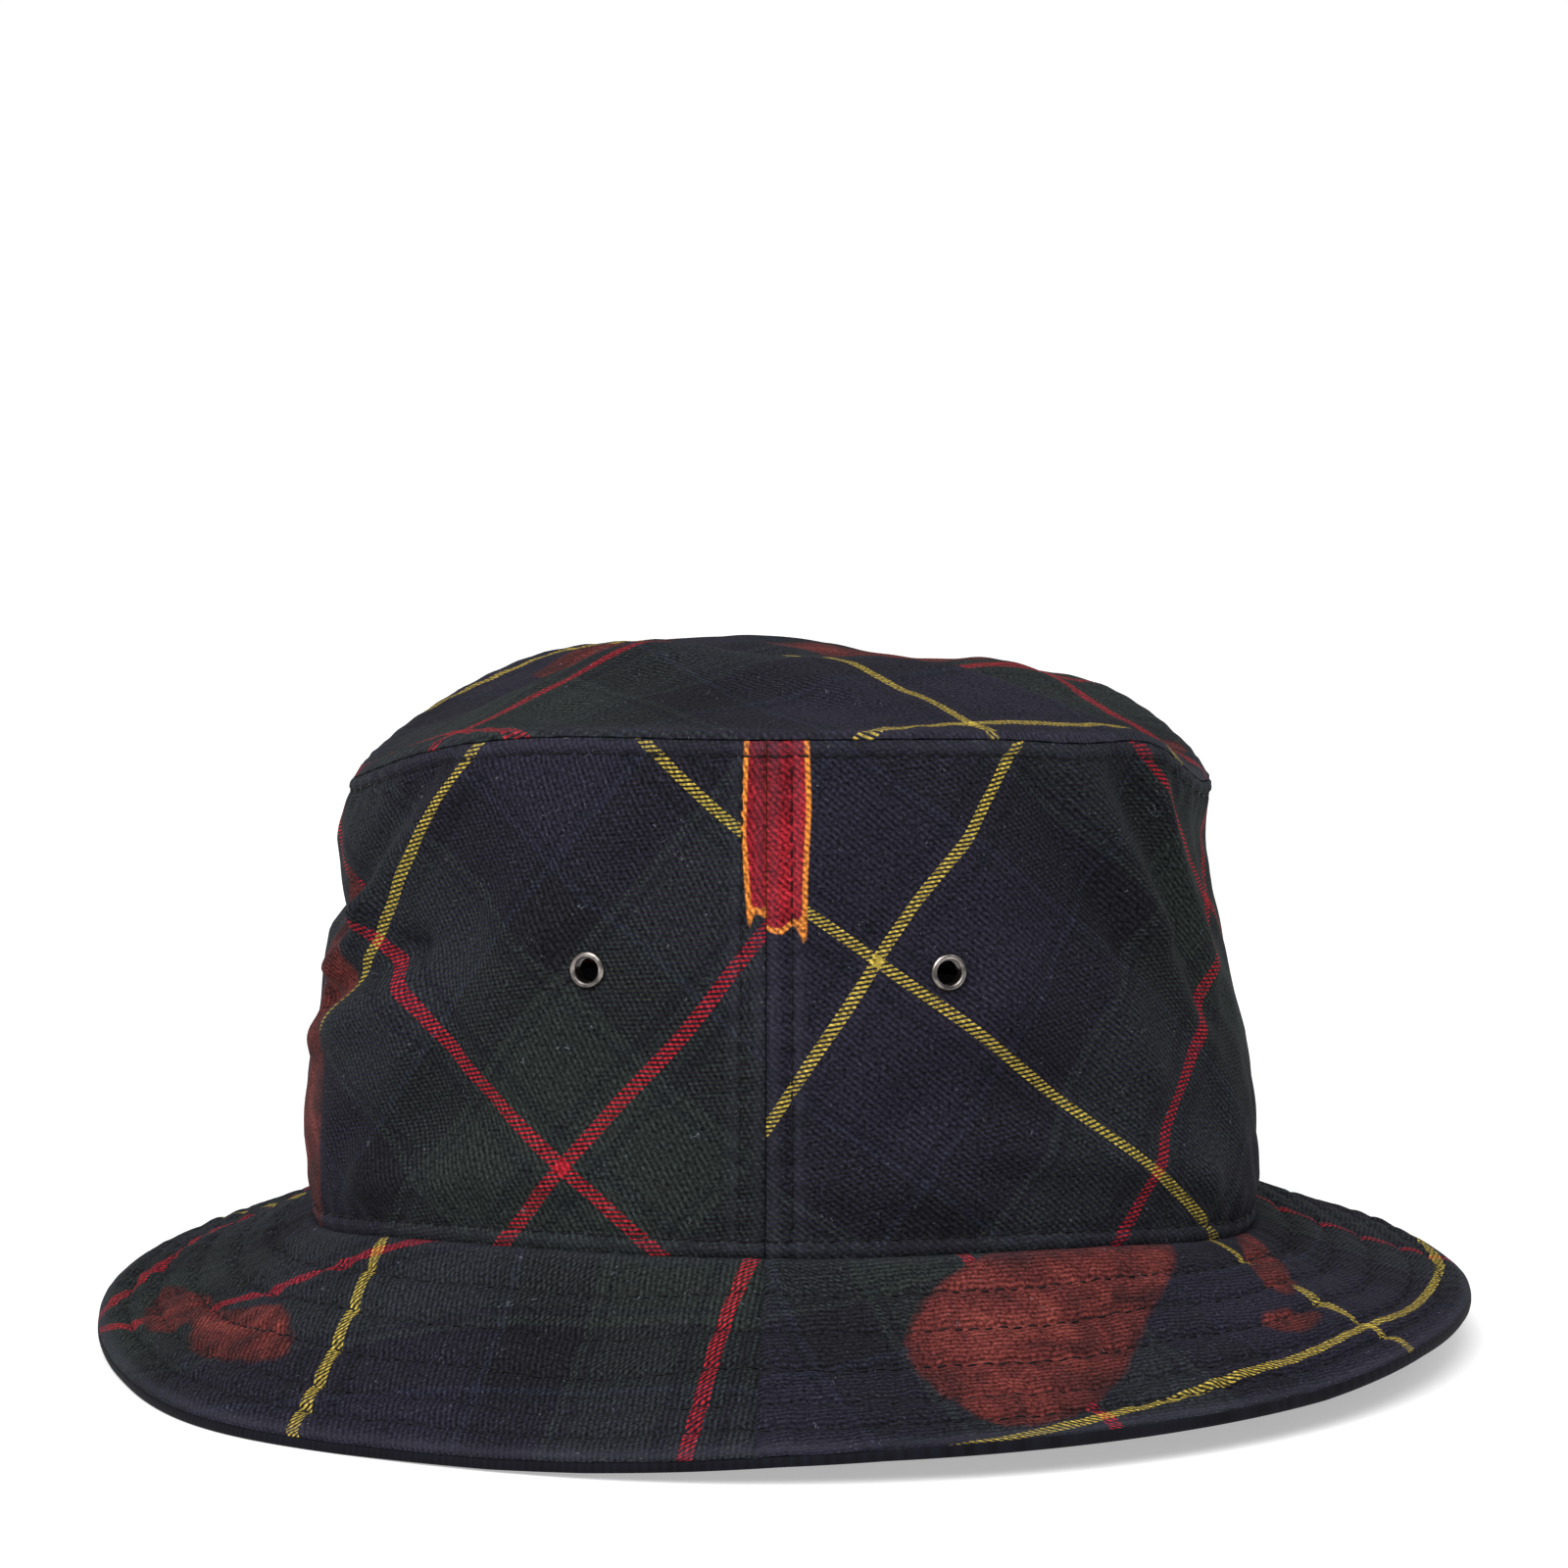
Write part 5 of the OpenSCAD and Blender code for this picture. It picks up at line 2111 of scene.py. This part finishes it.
@dataclass
class CareLabel:
    """The blank satin label inside the back of the crown, and the margin that it hangs from."""

    form: HatForm
    finishes: Finishes
    cloth_t: float = 0.35 * MM

    def build(self) -> None:
        """Builds and dresses the label and its margin."""
        self.margin()
        self.label()

    def margin(self) -> None:
        """Builds the sewn margin, from the wall to the fold line."""
        low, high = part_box("care_label_margin")
        form = self.form
        middle = (low[2] + high[2]) / 2
        foot = float(form.seam_z(np.array(180.0)))
        rise = float(form.rim_z(np.array(180.0))) - foot

        def inside(y: Array, z: Array) -> Array:
            """How far back the inner face of the wall is."""
            share = (z - foot) / rise
            depth = form.base[1] + (form.rim[1] - form.base[1]) * share
            return form.wall(180 - np.degrees(np.arcsin(y / depth)), share, -1.6 * MM)[:, 0]

        wall_x = float(inside(np.array([0.0]), np.array([middle]))[0])
        flap = 6.5 * MM
        inwards = high[0] - wall_x
        bend = flap / (flap + inwards)

        def place(a: Array, b: Array) -> Array:
            """Points of the margin: down the wall, then inwards to the fold."""
            f = np.clip((b - bend) / (1 - bend), 0, 1)
            g = np.clip(1 - b / bend, 0, 1)
            y = low[1] + (high[1] - low[1]) * a
            z = middle + 0.15 * MM + 0.12 * MM * np.sin(np.pi * f) + flap * g
            back = inside(y, z) + 0.2 * MM
            x = back + (high[0] - back) * f
            return np.stack([x, y, z], -1)

        piece, a, b = cloth_grid("care_label_margin_cloth", 30, 14, place)
        width, length = high[1] - low[1], flap + inwards
        lay_cut(piece, a * width, b * length)
        thicken(piece, self.cloth_t)
        hand_over(
            piece, ["care_label_margin"], self.finishes.satin,
            cut=FlatCut.strip(width, length),
        )

    def label(self) -> None:
        """Builds the hanging label, with a slight curl."""
        low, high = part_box("care_label")
        middle = (low[0] + high[0]) / 2

        def place(a: Array, b: Array) -> Array:
            """Points of the label, from its foot up to the fold."""
            y = low[1] + (high[1] - low[1]) * a
            z = low[2] + (high[2] - low[2]) * b
            curl = 0.9 * MM * (1 - b) ** 2 + 0.35 * MM * (1 - b) * np.sin(2 * np.pi * a + 0.6)
            return np.stack([middle + self.cloth_t / 2 + curl, y, z], -1)

        piece, a, b = cloth_grid("care_label_cloth", 52, 60, place)
        width, length = high[1] - low[1], high[2] - low[2]
        lay_cut(piece, a * width, b * length)
        thicken(piece, self.cloth_t)
        hand_over(
            piece, ["care_label"], self.finishes.satin, body="label",
            cut=FlatCut.strip(width, length),
        )


# ---------------------------------------------------------------- studio

@dataclass
class Studio:
    """The pale floor, the soft lights and the camera."""

    distance: float = 1.3
    turn: float = 2.4
    pitch: float = 8.068
    height: float = 0.3001
    lens: float = 144.5
    backdrop: float = 1.05
    room_light: float = 0.42
    floor_glow: float = 0.42
    overhead: float = 3.1
    overhead_place: tuple[float, float, float] = (-0.3, -0.9, 1.4)

    def build(self) -> None:
        """Sets up the camera, the floor and the lights."""
        self.camera()
        self.floor()
        self.sky()
        self.softbox("key_light", (-0.8, -1.1, 0.85), 0.7, 4.5)
        self.softbox("rim_light", (0.9, 0.2, 1.1), 0.9, 3.0)
        self.open_sky()
        bpy.context.scene.view_settings.view_transform = "Standard"

    def camera(self) -> None:
        """Places the camera."""
        data = bpy.data.cameras.new("camera")
        data.lens, data.sensor_width = self.lens, 36.0
        data.clip_start, data.clip_end = 0.05, 40.0
        camera = bpy.data.objects.new("camera", data)
        bpy.context.scene.collection.objects.link(camera)
        a = math.radians(self.turn)
        camera.location = (self.distance * math.sin(a), -self.distance * math.cos(a), self.height)
        camera.rotation_euler = (math.radians(90 - self.pitch), 0, a)
        bpy.context.scene.camera = camera

    def floor(self) -> None:
        """Lays the pale floor."""
        clear_choice()
        bpy.ops.mesh.primitive_grid_add(x_subdivisions=8, y_subdivisions=8, size=16, location=(0, 0, 0))
        floor = bpy.context.object
        floor.name = "studio_floor"
        material = bpy.data.materials.new("pale_floor")
        material.use_nodes = True
        body = material.node_tree.nodes["Principled BSDF"]
        body.label = "Matt white sweep"
        body.inputs["Base Color"].default_value = (0.62, 0.62, 0.62, 1)
        body.inputs["Emission Color"].default_value = (1, 1, 1, 1)
        body.inputs["Emission Strength"].default_value = self.floor_glow
        body.inputs["Roughness"].default_value = 0.95
        body.inputs["Specular IOR Level"].default_value = 0.0
        floor.data.materials.append(material)

    def sky(self) -> None:
        """Fills the room with even white light."""
        world = bpy.data.worlds.new("white_room")
        world.use_nodes = True
        nodes, links = world.node_tree.nodes, world.node_tree.links
        seen = nodes["Background"]
        seen.label = "White backdrop"
        seen.inputs["Color"].default_value = (1, 1, 1, 1)
        seen.inputs["Strength"].default_value = self.backdrop
        lit = nodes.new("ShaderNodeBackground")
        lit.label, lit.location = "Dim even room light", (0, -180)
        lit.inputs["Color"].default_value = (1, 1, 1, 1)
        lit.inputs["Strength"].default_value = self.room_light
        path = nodes.new("ShaderNodeLightPath")
        path.label, path.location = "Backdrop or room light", (0, 300)
        pick = nodes.new("ShaderNodeMixShader")
        pick.label, pick.location = "Backdrop behind, room light around", (220, 120)
        links.new(path.outputs["Is Camera Ray"], pick.inputs["Fac"])
        links.new(lit.outputs["Background"], pick.inputs[1])
        links.new(seen.outputs["Background"], pick.inputs[2])
        links.new(pick.outputs["Shader"], nodes["World Output"].inputs["Surface"])
        bpy.context.scene.world = world

    def open_sky(self) -> None:
        """Hangs one very wide, even light above, leaning towards the camera side."""
        data = bpy.data.lights.new("overhead_light", "SUN")
        data.energy = self.overhead
        data.angle = math.radians(50)
        light = bpy.data.objects.new("overhead_light", data)
        bpy.context.scene.collection.objects.link(light)
        light.location = self.overhead_place
        light.rotation_euler = (-Vector(self.overhead_place)).to_track_quat("-Z", "Y").to_euler()

    def softbox(self, name: str, place: tuple[float, float, float], size: float, watts: float) -> None:
        """Hangs one soft square light aimed at the hat.

        Args:
            name: Name of the light.
            place: Where it hangs.
            size: Length of its side.
            watts: Its power.
        """
        data = bpy.data.lights.new(name, "AREA")
        data.shape, data.size, data.energy = "SQUARE", size, watts
        light = bpy.data.objects.new(name, data)
        bpy.context.scene.collection.objects.link(light)
        light.location = place
        light.rotation_euler = (Vector((0, 0, 0.07)) - Vector(place)).to_track_quat("-Z", "Y").to_euler()


def plain(corners: Sequence[Sequence[float]]) -> list[list[float]]:
    """Two corners as plain lists of numbers."""
    return [[float(value) for value in corner] for corner in corners]


def main() -> None:
    """Builds the studio and the whole hat."""
    logging.basicConfig(level=logging.INFO, format="%(name)s: %(message)s")
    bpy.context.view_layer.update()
    Studio().build()
    form = HatForm.from_frame()
    LOG.info("slant %.4f, wall %.4f, half wall %.4f", form.slant, form.wall_height, form.wall_arcs[-1])
    finishes = Finishes()
    finishes.mix()
    Crown(form, finishes).build()
    Brim(form, finishes).build()
    Lining(form, finishes).build()
    Eyelets(form, finishes).build()
    Stitching(form, finishes).build()
    CareLabel(form, finishes).build()


if __name__ == "__main__":
    main()
